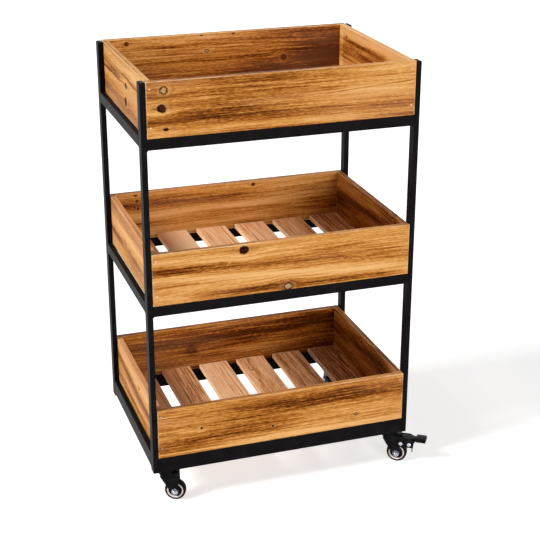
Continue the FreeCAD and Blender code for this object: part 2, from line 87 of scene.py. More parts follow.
# How a seed moves a pattern on each axis, and the seeds of the three crates
SEED_SHARES = (1.0, 0.7, 1.3)
CRATE_SEED = 5.0
CRATE_SEED_STEP = 83.0
# Names and sizes of the cart's own pieces
SLAT_WIDTH = 60 * MM
SLAT_TONGUE = 3.3 * MM
CART_BODY = "cart"
TIERS = ("bottom", "middle", "top")
CORNERS = ("front_left", "front_right", "rear_left", "rear_right")
BRAKED = tuple(corner for corner in CORNERS if f"{corner}_brake" in frame["bodies"])
JOINTS = {joint["name"]: joint for joint in frame["joints"]}

Colour = tuple[float, float, float, float]
Number = Union[float, "Value"]
Profile = Sequence[tuple[float, float]]
Span = tuple[float, float]
Steps = tuple[float, float, float]


def tone(red: int, green: int, blue: int) -> Colour:
    """Turn a display colour into the linear colour that a shader takes.

    Args:
        red: Red from 0 to 255.
        green: Green from 0 to 255.
        blue: Blue from 0 to 255.

    Returns:
        The linear colour with full alpha.
    """
    def linear(channel: int) -> float:
        """One channel in linear light, by the formula of common displays."""
        share = channel / 255
        return share / 12.92 if share <= 0.04045 else ((share + 0.055) / 1.055) ** 2.4

    return linear(red), linear(green), linear(blue), 1.0


class Value:
    """A number that varies over a surface: a socket whose arithmetic adds Math nodes."""

    def __init__(self, graph: Graph, socket: bpy.types.NodeSocket) -> None:
        """Keep the graph and the output socket."""
        self.graph = graph
        self.socket = socket

    def __add__(self, other: Number) -> Value:
        """Sum."""
        return self.graph.math("ADD", self, other)

    def __radd__(self, other: Number) -> Value:
        """Sum with a plain number in front."""
        return self.graph.math("ADD", other, self)

    def __sub__(self, other: Number) -> Value:
        """Difference."""
        return self.graph.math("SUBTRACT", self, other)

    def __rsub__(self, other: Number) -> Value:
        """Difference from a plain number."""
        return self.graph.math("SUBTRACT", other, self)

    def __mul__(self, other: Number) -> Value:
        """Product."""
        return self.graph.math("MULTIPLY", self, other)

    def __rmul__(self, other: Number) -> Value:
        """Product with a plain number in front."""
        return self.graph.math("MULTIPLY", other, self)

    def __truediv__(self, other: Number) -> Value:
        """Quotient."""
        return self.graph.math("DIVIDE", self, other)

    def __abs__(self) -> Value:
        """Size without sign."""
        return self.graph.math("ABSOLUTE", self)

    def __neg__(self) -> Value:
        """The same size with the other sign."""
        return self.graph.math("MULTIPLY", self, -1.0)


class Graph:
    """The node tree of a material or of the world, written as Python expressions."""

    def __init__(self, owner: bpy.types.Material | bpy.types.World) -> None:
        """Empty the owner's node tree.

        Args:
            owner: What the nodes belong to.
        """
        owner.use_nodes = True
        self.owner = owner
        self.tree = owner.node_tree
        self.tree.nodes.clear()

    def node(self, kind: str, settings: dict | None = None, inputs: dict | None = None) -> bpy.types.Node:
        """Add one node.

        Args:
            kind: The node's type.
            settings: Properties that are set before the sockets; stops fills a ramp.
            inputs: Values or links by socket name or number.

        Returns:
            The new node.
        """
        made = self.tree.nodes.new(kind)
        for name, setting in (settings or {}).items():
            if name == "stops":
                self._fill_ramp(made.color_ramp, setting)
            else:
                setattr(made, name, setting)
        for key, given in (inputs or {}).items():
            socket = given.socket if isinstance(given, Value) else given
            if isinstance(socket, bpy.types.NodeSocket):
                self.tree.links.new(socket, made.inputs[key])
            else:
                made.inputs[key].default_value = socket
        return made

    @staticmethod
    def _fill_ramp(ramp: bpy.types.ColorRamp, stops: Sequence[tuple[float, Colour]]) -> None:
        """Give a ramp its stops.

        Args:
            ramp: A new ramp with two stops.
            stops: Places from 0 to 1 with their colours.
        """
        while len(ramp.elements) < len(stops):
            ramp.elements.new(1.0)
        for element, (place, colour) in zip(ramp.elements, stops):
            element.position = place
            element.color = colour

    def math(self, operation: str, *values: Number) -> Value:
        """Add a Math node.

        Args:
            operation: The Math node's operation.
            values: Its one or two inputs.

        Returns:
            Its result.
        """
        made = self.node("ShaderNodeMath", {"operation": operation}, dict(enumerate(values)))
        return Value(self, made.outputs[0])

    def smooth(self, value: Value, low: float, high: float) -> Value:
        """A soft step from 0 at low to 1 at high.

        Args:
            value: What is tested.
            low: Where the step starts.
            high: Where it ends.

        Returns:
            The step.
        """
        made = self.node("ShaderNodeMapRange", {"interpolation_type": "SMOOTHSTEP"},
                         {"Value": value, "From Min": low, "From Max": high})
        return Value(self, made.outputs[0])

    def length(self, aside: Value, up: Value) -> Value:
        """The length of a line from its two parts at right angles."""
        return self.math("SQRT", aside * aside + up * up)

    def bell(self, value: Value) -> Value:
        """1 where the value is zero, falling off softly on both sides."""
        return self.math("EXPONENT", -(value * value))

    def chance(self, number: Value) -> Value:
        """A fixed chance number from 0 to 1 for each number."""
        made = self.node("ShaderNodeTexWhiteNoise", {"noise_dimensions": "1D"}, {"W": number})
        return Value(self, made.outputs[0])

    def place(self, middle: Vector | None = None) -> bpy.types.NodeSocket:
        """The point on the piece, in the cart's axes.

        Args:
            middle: The point that becomes the origin, if any.

        Returns:
            The vector socket.
        """
        point = self.node("ShaderNodeTexCoord").outputs["Object"]
        if middle is None:
            return point
        return self.node("ShaderNodeMapping", {}, {"Vector": point, "Location": -middle}).outputs[0]

    def axes(self, vector: bpy.types.NodeSocket) -> list[Value]:
        """The three parts of a vector."""
        return [Value(self, out) for out in self.node("ShaderNodeSeparateXYZ", {}, {0: vector}).outputs]

    def vector(self, *parts: Number) -> bpy.types.NodeSocket:
        """A vector from its three parts."""
        return self.node("ShaderNodeCombineXYZ", {}, dict(enumerate(parts))).outputs[0]

    def stretch(self, vector: bpy.types.NodeSocket, scale: Steps, seed: float) -> bpy.types.NodeSocket:
        """Scale a point for a pattern and move it to a part of the pattern of its own.

        Args:
            vector: The point.
            scale: Pattern steps per metre on each axis.
            seed: How far along the pattern is read.

        Returns:
            The vector socket.
        """
        start = tuple(seed * share for share in SEED_SHARES)
        made = self.node("ShaderNodeVectorMath", {"operation": "MULTIPLY_ADD"},
                         {0: vector, 1: scale, 2: start})
        return made.outputs[0]

    def noise(self, vector: bpy.types.NodeSocket, detail: float = 2.0, scale: float = 1.0) -> Value:
        """Soft noise about one half.

        Args:
            vector: The point.
            detail: How many finer layers it has.
            scale: Pattern steps per unit.

        Returns:
            The noise.
        """
        made = self.node("ShaderNodeTexNoise", {"noise_dimensions": "3D"},
                         {"Vector": vector, "Scale": scale, "Detail": detail})
        return Value(self, made.outputs[0])

    def blend(self, share: Number, first: object, second: object, mode: str = "MIX") -> bpy.types.NodeSocket:
        """Mix two colours.

        Args:
            share: How much of the second shows.
            first: A colour or a colour socket.
            second: Another one.
            mode: The Mix node's blend type.

        Returns:
            The colour socket.
        """
        made = self.node("ShaderNodeMix", {"data_type": "RGBA", "blend_type": mode, "clamp_factor": True},
                         {0: share, 6: first, 7: second})
        return made.outputs[2]

    def ramp(self, value: Value, stops: Sequence[tuple[float, Colour]]) -> bpy.types.NodeSocket:
        """A colour for each value.

        Args:
            value: A number from 0 to 1.
            stops: Places with their colours.

        Returns:
            The colour socket.
        """
        return self.node("ShaderNodeValToRGB", {"stops": stops}, {0: value}).outputs[0]

    def surface(self, colour: object, roughness: Number, height: Value, relief: float,
                **constants: object) -> bpy.types.Material:
        """Close the graph with a shader, its relief and the output.

        Args:
            colour: The base colour or its socket.
            roughness: The roughness.
            height: The relief's height from 0 to 1.
            relief: What a height of 1 stands for, in metres.
            constants: Other shader sockets, with _ for a space in their names.

        Returns:
            The material.
        """
        bump = self.node("ShaderNodeBump", {}, {"Height": height, "Strength": 1.0, "Distance": relief})
        inputs = {"Base Color": colour, "Roughness": roughness, "Normal": bump.outputs[0]}
        inputs.update({name.replace("_", " "): value for name, value in constants.items()})
        shader = self.node("ShaderNodeBsdfPrincipled", {}, inputs)
        self.node("ShaderNodeOutputMaterial", {}, {0: shader.outputs[0]})
        return self.owner


class Axis(Enum):
    """The axis that a cylinder runs along, as the turn that lays it there."""

    Y = (math.pi / 2, 0.0, 0.0)
    Z = (0.0, 0.0, 0.0)


class Element(Enum):
    """What is picked on a mesh: the select mode in edit mode, and the mesh's own list."""

    POINT = ("VERT", "vertices")
    EDGE = ("EDGE", "edges")
    FACE = ("FACE", "polygons")


class Workpiece:
    """One mesh that is shaped in edit mode with operators, then placed and finished."""

    def __init__(self, name: str) -> None:
        """Take the active object, such as one that an operator has just added.

        Args:
            name: The piece's name.
        """
        self.item = bpy.context.active_object
        self.item.name = name

    @classmethod
    def cylinder(cls, name: str, radius: float, depth: float, sides: int, along: Axis) -> Workpiece:
        """Start from a cylinder about the origin.

        Args:
            name: The piece's name.
            radius: Its radius.
            depth: Its length.
            sides: How many sides it has.
            along: The axis that it runs along.

        Returns:
            The piece.
        """
        bpy.ops.object.select_all(action="DESELECT")
        bpy.ops.mesh.primitive_cylinder_add(vertices=sides, radius=radius, depth=depth, rotation=along.value)
        bpy.ops.object.transform_apply(location=True, rotation=True, scale=True)
        return cls(name)

    @classmethod
    def block(cls, name: str, low: Vector, high: Vector) -> Workpiece:
        """Start from a box between two corners.

        Args:
            name: The piece's name.
            low: The lowest corner.
            high: The highest corner.

        Returns:
            The piece.
        """
        bpy.ops.object.select_all(action="DESELECT")
        bpy.ops.mesh.primitive_cube_add(size=1.0, location=(low + high) / 2, scale=high - low)
        bpy.ops.object.transform_apply(location=True, rotation=True, scale=True)
        return cls(name)

    @classmethod
    def turned(cls, name: str, outline: Profile, steps: int) -> Workpiece:
        """Draw a closed (radius, y) outline point by point and spin it about the Y axis.

        Args:
            name: The piece's name.
            outline: The outline's corners in millimetres.
            steps: How many steps the turn has.

        Returns:
            The piece.
        """
        corners = [Vector((radius, y, 0.0)) * MM for radius, y in outline]
        bpy.ops.object.select_all(action="DESELECT")
        bpy.ops.mesh.primitive_plane_add(size=MM)
        piece = cls(name)
        bpy.ops.object.mode_set(mode="EDIT")
        bpy.ops.mesh.select_mode(type="VERT")
        bpy.ops.mesh.select_all(action="SELECT")
        bpy.ops.mesh.merge(type="CENTER")
        bpy.ops.transform.translate(value=corners[0])
        for here, there in zip(corners, corners[1:] + corners[:1]):
            bpy.ops.mesh.extrude_vertices_move(TRANSFORM_OT_translate={"value": there - here})
        bpy.ops.mesh.select_all(action="SELECT")
        bpy.ops.mesh.spin(steps=steps, angle=math.tau, center=(0.0, 0.0, 0.0), axis=(0.0, 1.0, 0.0))
        piece._close()
        return piece

    @classmethod
    def copied(cls, name: str, source: bpy.types.Object) -> Workpiece:
        """Copy an object and its mesh, free of its body and of the marks on it.

        Args:
            name: The piece's name.
            source: What is copied.

        Returns:
            The copy, selected and active.
        """
        item = source.copy()
        item.data = source.data.copy()
        item.parent = None
        for key in list(item.keys()):
            del item[key]
        bpy.context.collection.objects.link(item)
        bpy.context.view_layer.objects.active = item
        return cls(name).focus()

    @classmethod
    def softened(cls, name: str, node: str, width: float = 0.0) -> Workpiece:
        """Copy a CAD node and round its sharp edges a little.

        Args:
            name: The piece's name.
            node: The node that is copied.
            width: The width of the rounding, or 0 for none.

        Returns:
            The piece.
        """
        piece = cls.copied(name, frame["nodes"][node])
        bpy.ops.object.mode_set(mode="EDIT")
        bpy.ops.mesh.select_all(action="SELECT")
        bpy.ops.mesh.remove_doubles(threshold=CAD_MERGE)
        bpy.ops.mesh.dissolve_limited(angle_limit=FLAT)
        bpy.ops.object.mode_set(mode="OBJECT")
        if width:
            bpy.ops.object.modifier_add(type="BEVEL")
            rounding = piece.item.modifiers[-1]
            rounding.width = width
            rounding.segments = ROUND_STEPS
            rounding.limit_method = "ANGLE"
            rounding.angle_limit = SHARP
            bpy.ops.object.modifier_apply(modifier=rounding.name)
        return piece

    def focus(self) -> Workpiece:
        """Select this piece alone and make it the active one.

        Returns:
            The piece.
        """
        bpy.ops.object.select_all(action="DESELECT")
        self.item.select_set(True)
        bpy.context.view_layer.objects.active = self.item
        return self

    def _close(self) -> None:
        """Merge what meets, turn the faces outwards and leave edit mode."""
        bpy.ops.mesh.select_all(action="SELECT")
        bpy.ops.mesh.remove_doubles(threshold=MERGE)
        bpy.ops.mesh.normals_make_consistent(inside=False)
        bpy.ops.object.mode_set(mode="OBJECT")

    def pick(self, element: Element, test: Callable[[object], bool]) -> None:
        """Select points, edges or faces by a test and stay in edit mode.

        Args:
            element: What is picked.
            test: Says of each one whether it is picked.
        """
        mode, part = element.value
        bpy.ops.object.mode_set(mode="EDIT")
        bpy.ops.mesh.select_mode(type=mode)
        bpy.ops.mesh.select_all(action="DESELECT")
        bpy.ops.object.mode_set(mode="OBJECT")
        for one in getattr(self.item.data, part):
            one.select = test(one)
        bpy.ops.object.mode_set(mode="EDIT")

    def rise(self, edge: bpy.types.MeshEdge) -> float:
        """How far an edge climbs along Z."""
        first, last = (self.item.data.vertices[index].co.z for index in edge.vertices)
        return abs(first - last)

    def raise_faces(self, move: Vector, scale: Steps) -> None:
        """Extrude the picked faces, resize their new ends and leave edit mode.

        Args:
            move: How far the faces go.
            scale: How the new ends are resized about their own middle.
        """
        bpy.ops.mesh.extrude_region_move(TRANSFORM_OT_translate={"value": move})
        bpy.ops.transform.resize(value=scale)
        bpy.ops.object.mode_set(mode="OBJECT")

    def round_edges(self, width: float) -> None:
        """Bevel every edge of the piece.

        Args:
            width: The bevel's width.
        """
        bpy.ops.object.mode_set(mode="EDIT")
        bpy.ops.mesh.select_mode(type="EDGE")
        bpy.ops.mesh.select_all(action="SELECT")
        bpy.ops.mesh.bevel(offset=width, segments=ROUND_STEPS, affect="EDGES")
        self._close()

    def put(self, stand: Matrix) -> Workpiece:
        """Move the piece to its place, within its mesh.

        Args:
            stand: The place and turn.

        Returns:
            The piece.
        """
        self.focus()
        self.item.matrix_world = stand
        bpy.ops.object.transform_apply(location=True, rotation=True, scale=True)
        return self

    def join(self, others: Iterable[Workpiece]) -> Workpiece:
        """Take other pieces into this mesh.

        Args:
            others: The pieces that are taken in.

        Returns:
            The piece.
        """
        self.focus()
        for other in others:
            other.item.select_set(True)
        bpy.ops.object.join()
        return self

    def finish(self, body: str, finish: Finish, stands_for: str = "") -> None:
        """Smooth the piece, dress it and let it ride on its body.

        Args:
            body: The body that carries it.
            finish: Its finish.
            stands_for: The CAD node that it replaces, if any.
        """
        self.focus()
        bpy.ops.object.shade_smooth_by_angle(angle=SMOOTH)
        self.item.data.materials.clear()
        self.item.data.materials.append(finish.material)
        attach(self.item, body)
        if stands_for:
            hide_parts(stands_for)
        LOG.info("%s rides on %s, finished with %s", self.item.name, body, finish.slot)


@dataclass(frozen=True)
class Finish:
    """A material and the name of its slot."""

    slot: str
    material: bpy.types.Material


class Lay(Enum):
    """Which of the cart's axes run along, across and through a board."""

    LONG_PANEL = (0, 2, 1)
    SIDE_PANEL = (1, 2, 0)
    SLAT = (1, 0, 2)


class Pattern(Enum):
    """The noises of the wood: steps per metre along, across and through the grain, an offset and layers."""

    SWAY = ((3.0, 10.0, 10.0), 0.0, 2.0)
    CLOUD = ((1.8, 24.0, 9.0), 7.0, 3.0)
    BLUSH = ((2.5, 18.0, 9.0), 47.0, 2.0)
    SMEAR = ((2.6, 85.0, 60.0), 19.0, 4.0)
    STREAK = ((15.0, 310.0, 200.0), 11.0, 4.0)
    FIBRE = ((120.0, 900.0, 900.0), 3.0, 2.0)
    LINE = ((3.2, 480.0, 260.0), 83.0, 2.0)
    RING_DRIFT = ((1.2, 3.0, 3.0), 31.0, 1.0)
    RING_FLUTTER = ((7.0, 60.0, 60.0), 5.0, 1.0)
    RING_PATCH = ((4.0, 30.0, 20.0), 37.0, 2.0)
    KNOT_EDGE = ((130.0, 130.0, 130.0), 61.0, 3.0)


@dataclass(frozen=True)
class Board:
    """Where a point lies on its board, from the board's middle, and what sets the board apart.

    spread is the place across all the boards of the node, half the board's half sizes along, across
    and through it, own a chance number of its own, and right goes from 0 to 1 across the node.
    """

    graph: Graph
    along: Value
    across: Value
    through: Value
    spread: Value
    half: Steps
    own: Number = 0.5
    right: Number = 0.0


@dataclass(frozen=True)
class Grain:
    """A point in the wood, along, across and through the grain, at which its noises are read."""

    graph: Graph
    point: bpy.types.NodeSocket
    seed: float

    def noise(self, pattern: Pattern) -> Value:
        """Soft noise about one half."""
        steps, offset, layers = pattern.value
        return self.graph.noise(self.graph.stretch(self.point, steps, self.seed + offset), layers)

    def swing(self, pattern: Pattern) -> Value:
        """The same noise about zero."""
        return self.noise(pattern) - 0.5


@dataclass(frozen=True)
class Rings:
    """The growth rings that a board cuts through, about a pith line across and through from its middle."""

    pith: tuple[float, float]
    width: float = 5.5 * MM
    drift: float = 0.07
    boards_apart: float = 0.16
    flutter: float = 0.9
    faintest: float = 0.2
    rise: Span = (0.25, 0.82)
    fall: Span = (0.86, 1.0)
    patch: Span = (0.34, 0.62)

    def late(self, grain: Grain, board: Board, bent: Value) -> Value:
        """The late wood of the rings, each with a darkness of its own.

        Args:
            grain: The point in the wood.
            board: The point on the board.
            bent: Place across the grain.

        Returns:
            How dark the late wood is.
        """
        graph = grain.graph
        drift = grain.swing(Pattern.RING_DRIFT) * self.drift
        aside = bent - self.pith[0] + drift + (board.own - 0.5) * self.boards_apart
        distance = graph.length(aside, board.through - self.pith[1])
        phase = distance / self.width + grain.noise(Pattern.RING_FLUTTER) * self.flutter
        year = graph.math("FRACT", phase)
        late = graph.smooth(year, *self.rise) * (1 - graph.smooth(year, *self.fall))
        strength = self.faintest + graph.chance(graph.math("FLOOR", phase))
        return late * strength * graph.smooth(grain.noise(Pattern.RING_PATCH), *self.patch)


class KnotKind(Enum):
    """The heart and ring colours of a knot, where in it the ring begins, and how pale its halo is."""

    DARK = (tone(54, 10, 0), tone(30, 1, 0), 0.2, 0.3)
    PIN = (tone(108, 50, 15), tone(82, 35, 10), 0.3, 0.08)
    PALE = (tone(216, 166, 106), tone(48, 8, 0), 0.42, 0.2)
    GREY = (tone(206, 164, 118), tone(62, 20, 2), 0.42, 0.15)


class KnotShape(Enum):
    """How much longer and wider than its knot a mark is."""

    HEART = (1.0, 1.0)
    HALO = (2.0, 1.4)
    SMEAR = (5.0, 0.9)
    PARTING = (3.4, 2.2)


@dataclass(frozen=True)
class Knot:
    """The mark of a branch, placed from the middle of its board, with the grain parted around it."""

    along: float
    across: float
    radius: float
    kind: KnotKind = KnotKind.DARK
    squash: float = 1.0
    parting: float = 0.75
    roughness: float = 1.3
    heart: float = 0.97
    heart_span: Span = (0.76, 1.02)
    halo_span: Span = (0.55, 1.5)
    smear: float = 0.5
    smear_breaks: float = 3.0
    smear_span: Span = (0.2, 1.0)
    ring_end: float = 0.9
    rim_span: Span = (0.94, 1.2)
    rim_breaks: float = 2.5
    growth: float = 0.25
    growth_turns: float = 17.0

    def reach(self, board: Board, shape: KnotShape) -> Value:
        """Distance from the knot's heart, where 1 is the edge of the shape.

        Args:
            board: The point on the board.
            shape: Which of the knot's shapes is meant.

        Returns:
            The distance.
        """
        longer, wider = shape.value
        aside = (board.along - self.along) / (self.radius * longer)
        up = (board.spread - self.across) / (self.radius * self.squash * wider)
        return board.graph.length(aside, up)

    def part(self, board: Board, bent: Value) -> Value:
        """The place across the grain, once it is parted around the knot."""
        near = board.graph.bell(self.reach(board, KnotShape.PARTING))
        return bent - (board.spread - self.across) * near * self.parting

    def draw(self, board: Board, colour: bpy.types.NodeSocket, stain: Stain,
             wobble: Value) -> bpy.types.NodeSocket:
        """Paint the knot over the wood: a pale halo, a smear, a ringed heart and a broken dark rim.

        Args:
            board: The point on the board.
            colour: The wood's colour so far.
            stain: The wood's stain.
            wobble: Noise about zero that roughens the knot.

        Returns:
            The colour socket.
        """
        graph = board.graph
        heart_tone, ring_tone, ring_start, halo = self.kind.value
        reach = self.reach(board, KnotShape.HEART) + wobble * self.roughness
        glow = 1 - graph.smooth(self.reach(board, KnotShape.HALO) + wobble, *self.halo_span)
        smear = 1 - graph.smooth(self.reach(board, KnotShape.SMEAR) + wobble, *self.smear_span)
        heart = 1 - graph.smooth(reach, *self.heart_span)
        rim = graph.smooth(reach, ring_start, self.ring_end) * (1 - graph.smooth(reach, *self.rim_span))
        growth = graph.math("SINE", reach * self.growth_turns) * self.growth + self.growth
        colour = graph.blend(glow * halo, colour, stain.pale)
        colour = graph.blend(smear * (self.smear + wobble * self.smear_breaks), colour, stain.brown)
        colour = graph.blend(heart * self.heart, colour, graph.blend(growth, heart_tone, ring_tone))
        return graph.blend(rim * (1.0 + wobble * self.rim_breaks), colour, ring_tone)


@dataclass(frozen=True)
class Band:
    """A stretch along the grain, darker or paler (strength below zero): mostly stain, in places painted
    shade.
    """

    across: float
    half: float
    strength: float
    slope: float = 0.0
    start: float = -1.0
    end: float = 1.0
    fade: float = 0.05

    def shade(self, board: Board, bent: Value) -> Value:
        """How much the band darkens the wood.

        Args:
            board: The point on the board.
            bent: Place across the grain.

        Returns:
            What is added to the wood's shade.
        """
        graph = board.graph
        offset = (bent - self.across - board.along * self.slope) / self.half
        begun = graph.smooth(board.along, self.start - self.fade, self.start + self.fade)
        ended = graph.smooth(board.along, self.end - self.fade, self.end + self.fade)
        return graph.bell(offset) * (begun * (1 - ended)) * self.strength


@dataclass(frozen=True)
class Figure:
    """What sets one board apart from the others: its bands and its knots."""

    bands: tuple[Band, ...] = ()
    knots: tuple[Knot, ...] = ()


@dataclass(frozen=True)
class Stain:
    """The tones of one stain, from the palest wood to the deepest streak."""

    pale: Colour
    honey: Colour
    brown: Colour
    deep: Colour
    blush: Colour
    arris: Colour
    places: tuple[float, ...] = (0.0, 0.34, 0.68, 1.0)

    def stops(self) -> list[tuple[float, Colour]]:
        """The stain's tones with their places on a ramp."""
        return list(zip(self.places, (self.pale, self.honey, self.brown, self.deep)))


CRATE_STAIN = Stain(pale=tone(234, 180, 116), honey=tone(205, 141, 66), brown=tone(148, 81, 20),
                    deep=tone(70, 28, 2), blush=tone(214, 150, 104), arris=tone(242, 204, 156))
SLAT_STAIN = Stain(pale=tone(250, 208, 164), honey=tone(236, 180, 130), brown=tone(192, 128, 78),
                   deep=tone(112, 62, 28), blush=tone(236, 180, 140), arris=tone(254, 228, 200))


@dataclass(frozen=True)
class WoodFinish:
    """Brushed and stained softwood: smeared stain, growth rings about a pith line, fibres and knots.

    A single number says how strongly a layer shows, and a span where its soft step starts and ends.
    """

    node: str
    lay: Lay
    seed: float
    rings: Rings
    figure: Figure
    stain: Stain = CRATE_STAIN
    boards: int = 1
    boards_apart: float = 0.9
    sway: float = 7 * MM
    base: float = 0.14
    cloud: float = 0.34
    cloud_span: Span = (0.36, 0.68)
    chance: float = 0.3
    # Painted shade that darkens a slatted floor towards its right end
    right_painted_shade: float = 0.0
    smear: float = 0.58
    streak: float = 0.88
    fibre: float = 0.95
    palest_detail: float = 0.6
    late: float = 0.20
    lines: float = 0.20
    line_span: Span = (0.53, 0.66)
    end_grain: float = 0.16
    end_grain_span: Span = (0.7, 0.95)
    blush: float = 0.22
    blush_span: Span = (0.45, 0.68)
    knot_fibre: float = 0.4
    # The pale corners: partly stain rubbed off, partly a painted highlight on the eased edges
    rub_and_highlight: float = 0.8
    rub_and_highlight_span: Span = (-0.15, 0.2)
    bare: float = 0.4 * MM
    rubbed_and_lit: float = 2.2 * MM
    # How dark the painted shadow is in the gap at a slat's ends, and where it fades
    joint: float = 0.8
    gap_shadow_span: Span = (0.3 * MM, 1.0 * MM)
    roughness: float = 0.50
    fibre_roughness: float = 0.25
    late_roughness: float = 0.06
    relief: float = 0.25 * MM
    fibre_height: float = 0.35
    streak_height: float = 0.35
    late_depth: float = 0.3
    specular: float = 0.04

    def build(self) -> Finish:
        """Make the material.

        Returns:
            The finished wood.
        """
        graph = Graph(bpy.data.materials.new(f"{self.node}_wood"))
        board = self._board(graph)
        level = board.through + board.own * self.boards_apart
        straight = Grain(graph, graph.vector(board.along, board.across, level), self.seed)
        bent = board.across + straight.swing(Pattern.SWAY) * self.sway
        for knot in self.figure.knots:
            bent = knot.part(board, bent)
        grain = Grain(graph, graph.vector(board.along, bent, level), self.seed)
        smear = grain.swing(Pattern.SMEAR)
        streak = grain.swing(Pattern.STREAK)
        fibre = grain.swing(Pattern.FIBRE)
        late = self.rings.late(grain, board, bent)
        shade = self._cloud(grain, board, bent)
        detail = smear * self.smear + streak * self.streak + fibre * self.fibre
        lines = graph.smooth(grain.noise(Pattern.LINE), *self.line_span)
        shade = shade + detail * (shade + self.palest_detail) + late * self.late + lines * self.lines
        colour = self._stained(grain, shade)
        wobble = grain.swing(Pattern.KNOT_EDGE) + fibre * self.knot_fibre
        for knot in self.figure.knots:
            colour = knot.draw(board, colour, self.stain, wobble)
        colour = self._rubbed_and_painted_light(board, colour, smear + streak)
        height = fibre * self.fibre_height + streak * self.streak_height - late * self.late_depth
        roughness = self.roughness + fibre * self.fibre_roughness + late * self.late_roughness
        material = graph.surface(colour, roughness, height, self.relief, Specular_IOR_Level=self.specular)
        return Finish("slat_wood" if self.lay is Lay.SLAT else "crate_wood", material)

    def _board(self, graph: Graph) -> Board:
        """Find the point's place on its own board, where a node holds several side by side.

        Args:
            graph: The material's graph.

        Returns:
            The point on the board.
        """
        low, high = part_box(self.node)
        parts = graph.axes(graph.place((low + high) / 2))
        along, spread, through = (parts[axis] for axis in self.lay.value)
        long, wide, thick = ((high - low)[axis] / 2 for axis in self.lay.value)
        if self.boards == 1:
            return Board(graph, along, spread, through, spread, (long, wide, thick))
        last = self.boards - 1
        pitch = (2 * wide - SLAT_WIDTH) / last
        row = graph.math("FLOOR", spread / pitch + self.boards / 2)
        across = spread - (row - last / 2) * pitch
        return Board(graph, along, across, through, spread, (long, SLAT_WIDTH / 2, thick),
                     graph.chance(row + self.seed), row / last)

    def _cloud(self, grain: Grain, board: Board, bent: Value) -> Value:
        """The stain's broad uneven tone, the board's bands and chance tone, and painted shade at a floor's
        right end.

        Args:
            grain: The point in the wood.
            board: The point on the board.
            bent: Place across the grain.

        Returns:
            The tone from 0, pale, upwards.
        """
        shade = grain.graph.smooth(grain.noise(Pattern.CLOUD), *self.cloud_span) * self.cloud + self.base
        for band in self.figure.bands:
            shade = shade + band.shade(board, bent)
        # Painted shade: a slatted floor grows darker towards its right end
        return shade + (board.own - 0.5) * self.chance + board.right * board.right * self.right_painted_shade

    def _stained(self, grain: Grain, shade: Value) -> bpy.types.NodeSocket:
        """The stain's colour, darker on end grain and with a drifting blush.

        Args:
            grain: The point in the wood.
            shade: How dark the wood is, from 0 to 1.

        Returns:
            The colour socket.
        """
        graph = grain.graph
        normal = graph.axes(graph.node("ShaderNodeTexCoord").outputs["Normal"])
        end_grain = graph.smooth(abs(normal[self.lay.value[0]]), *self.end_grain_span)
        colour = graph.ramp(shade + end_grain * self.end_grain, self.stain.stops())
        blush = graph.smooth(grain.noise(Pattern.BLUSH), *self.blush_span)
        return graph.blend(blush * self.blush, colour, self.stain.blush)

    def _rubbed_and_painted_light(self, board: Board, colour: bpy.types.NodeSocket, streak: Value) -> bpy.types.NodeSocket:
        """Pale the corners with rubbed stain and painted highlight; paint a shadow where a slat enters its
        groove.

        Args:
            board: The point on the board.
            colour: The wood's colour so far.
            streak: Noise about zero that breaks the pale edge line up.

        Returns:
            The colour socket.
        """
        graph = board.graph
        long, wide, thick = board.half
        end = long - abs(board.along)
        rim = wide - board.across
        if self.lay is Lay.SLAT:
            end = end - SLAT_TONGUE
            rim = wide - abs(board.across)
        edges = (end, rim, thick - abs(board.through))
        near = [1 - graph.smooth(edge, self.bare, self.rubbed_and_lit) for edge in edges]
        corner = near[1] * near[2] + near[0] * near[2] + near[0] * near[1]
        # Pale corners: rubbed stain and a painted highlight on the eased edges
        rubbed_and_lit = corner * graph.smooth(streak, *self.rub_and_highlight_span) * self.rub_and_highlight
        colour = graph.blend(rubbed_and_lit, colour, self.stain.arris)
        # Painted shadow: a dark line where a slat's end meets the panel's groove
        if self.lay is Lay.SLAT:
            shadow = self.joint - graph.smooth(end, *self.gap_shadow_span)
            colour = graph.blend(shadow, colour, self.stain.deep)
        return colour


@dataclass(frozen=True)
class Coating:
    """A coated, moulded or plated surface: uneven gloss, fine relief, patches of wear, on zinc painted
    reflections.
    """

    slot: str
    base: Colour
    wear_and_reflection: Colour
    roughness: float
    unevenness: float
    mottle: float
    peel: float
    relief: float
    metallic: float = 0.0
    specular: float = 0.5
    patch_layers: float = 3.0
    patch_span: Span = (0.38, 0.72)
    peel_layers: float = 2.0
    peel_share: float = 0.5

    def build(self) -> Finish:
        """Make the material.

        Returns:
            The finished coating.
        """
        graph = Graph(bpy.data.materials.new(f"{self.slot}_coating"))
        point = graph.place()
        patch = graph.noise(point, self.patch_layers, self.mottle)
        peel = graph.noise(point, self.peel_layers, self.peel)
        colour = graph.blend(graph.smooth(patch, *self.patch_span), self.base, self.wear_and_reflection)
        uneven = (patch - 0.5) + (peel - 0.5) * self.peel_share
        material = graph.surface(colour, self.roughness + uneven * self.unevenness, peel, self.relief,
                                 Metallic=self.metallic, Specular_IOR_Level=self.specular)
        return Finish(self.slot, material)


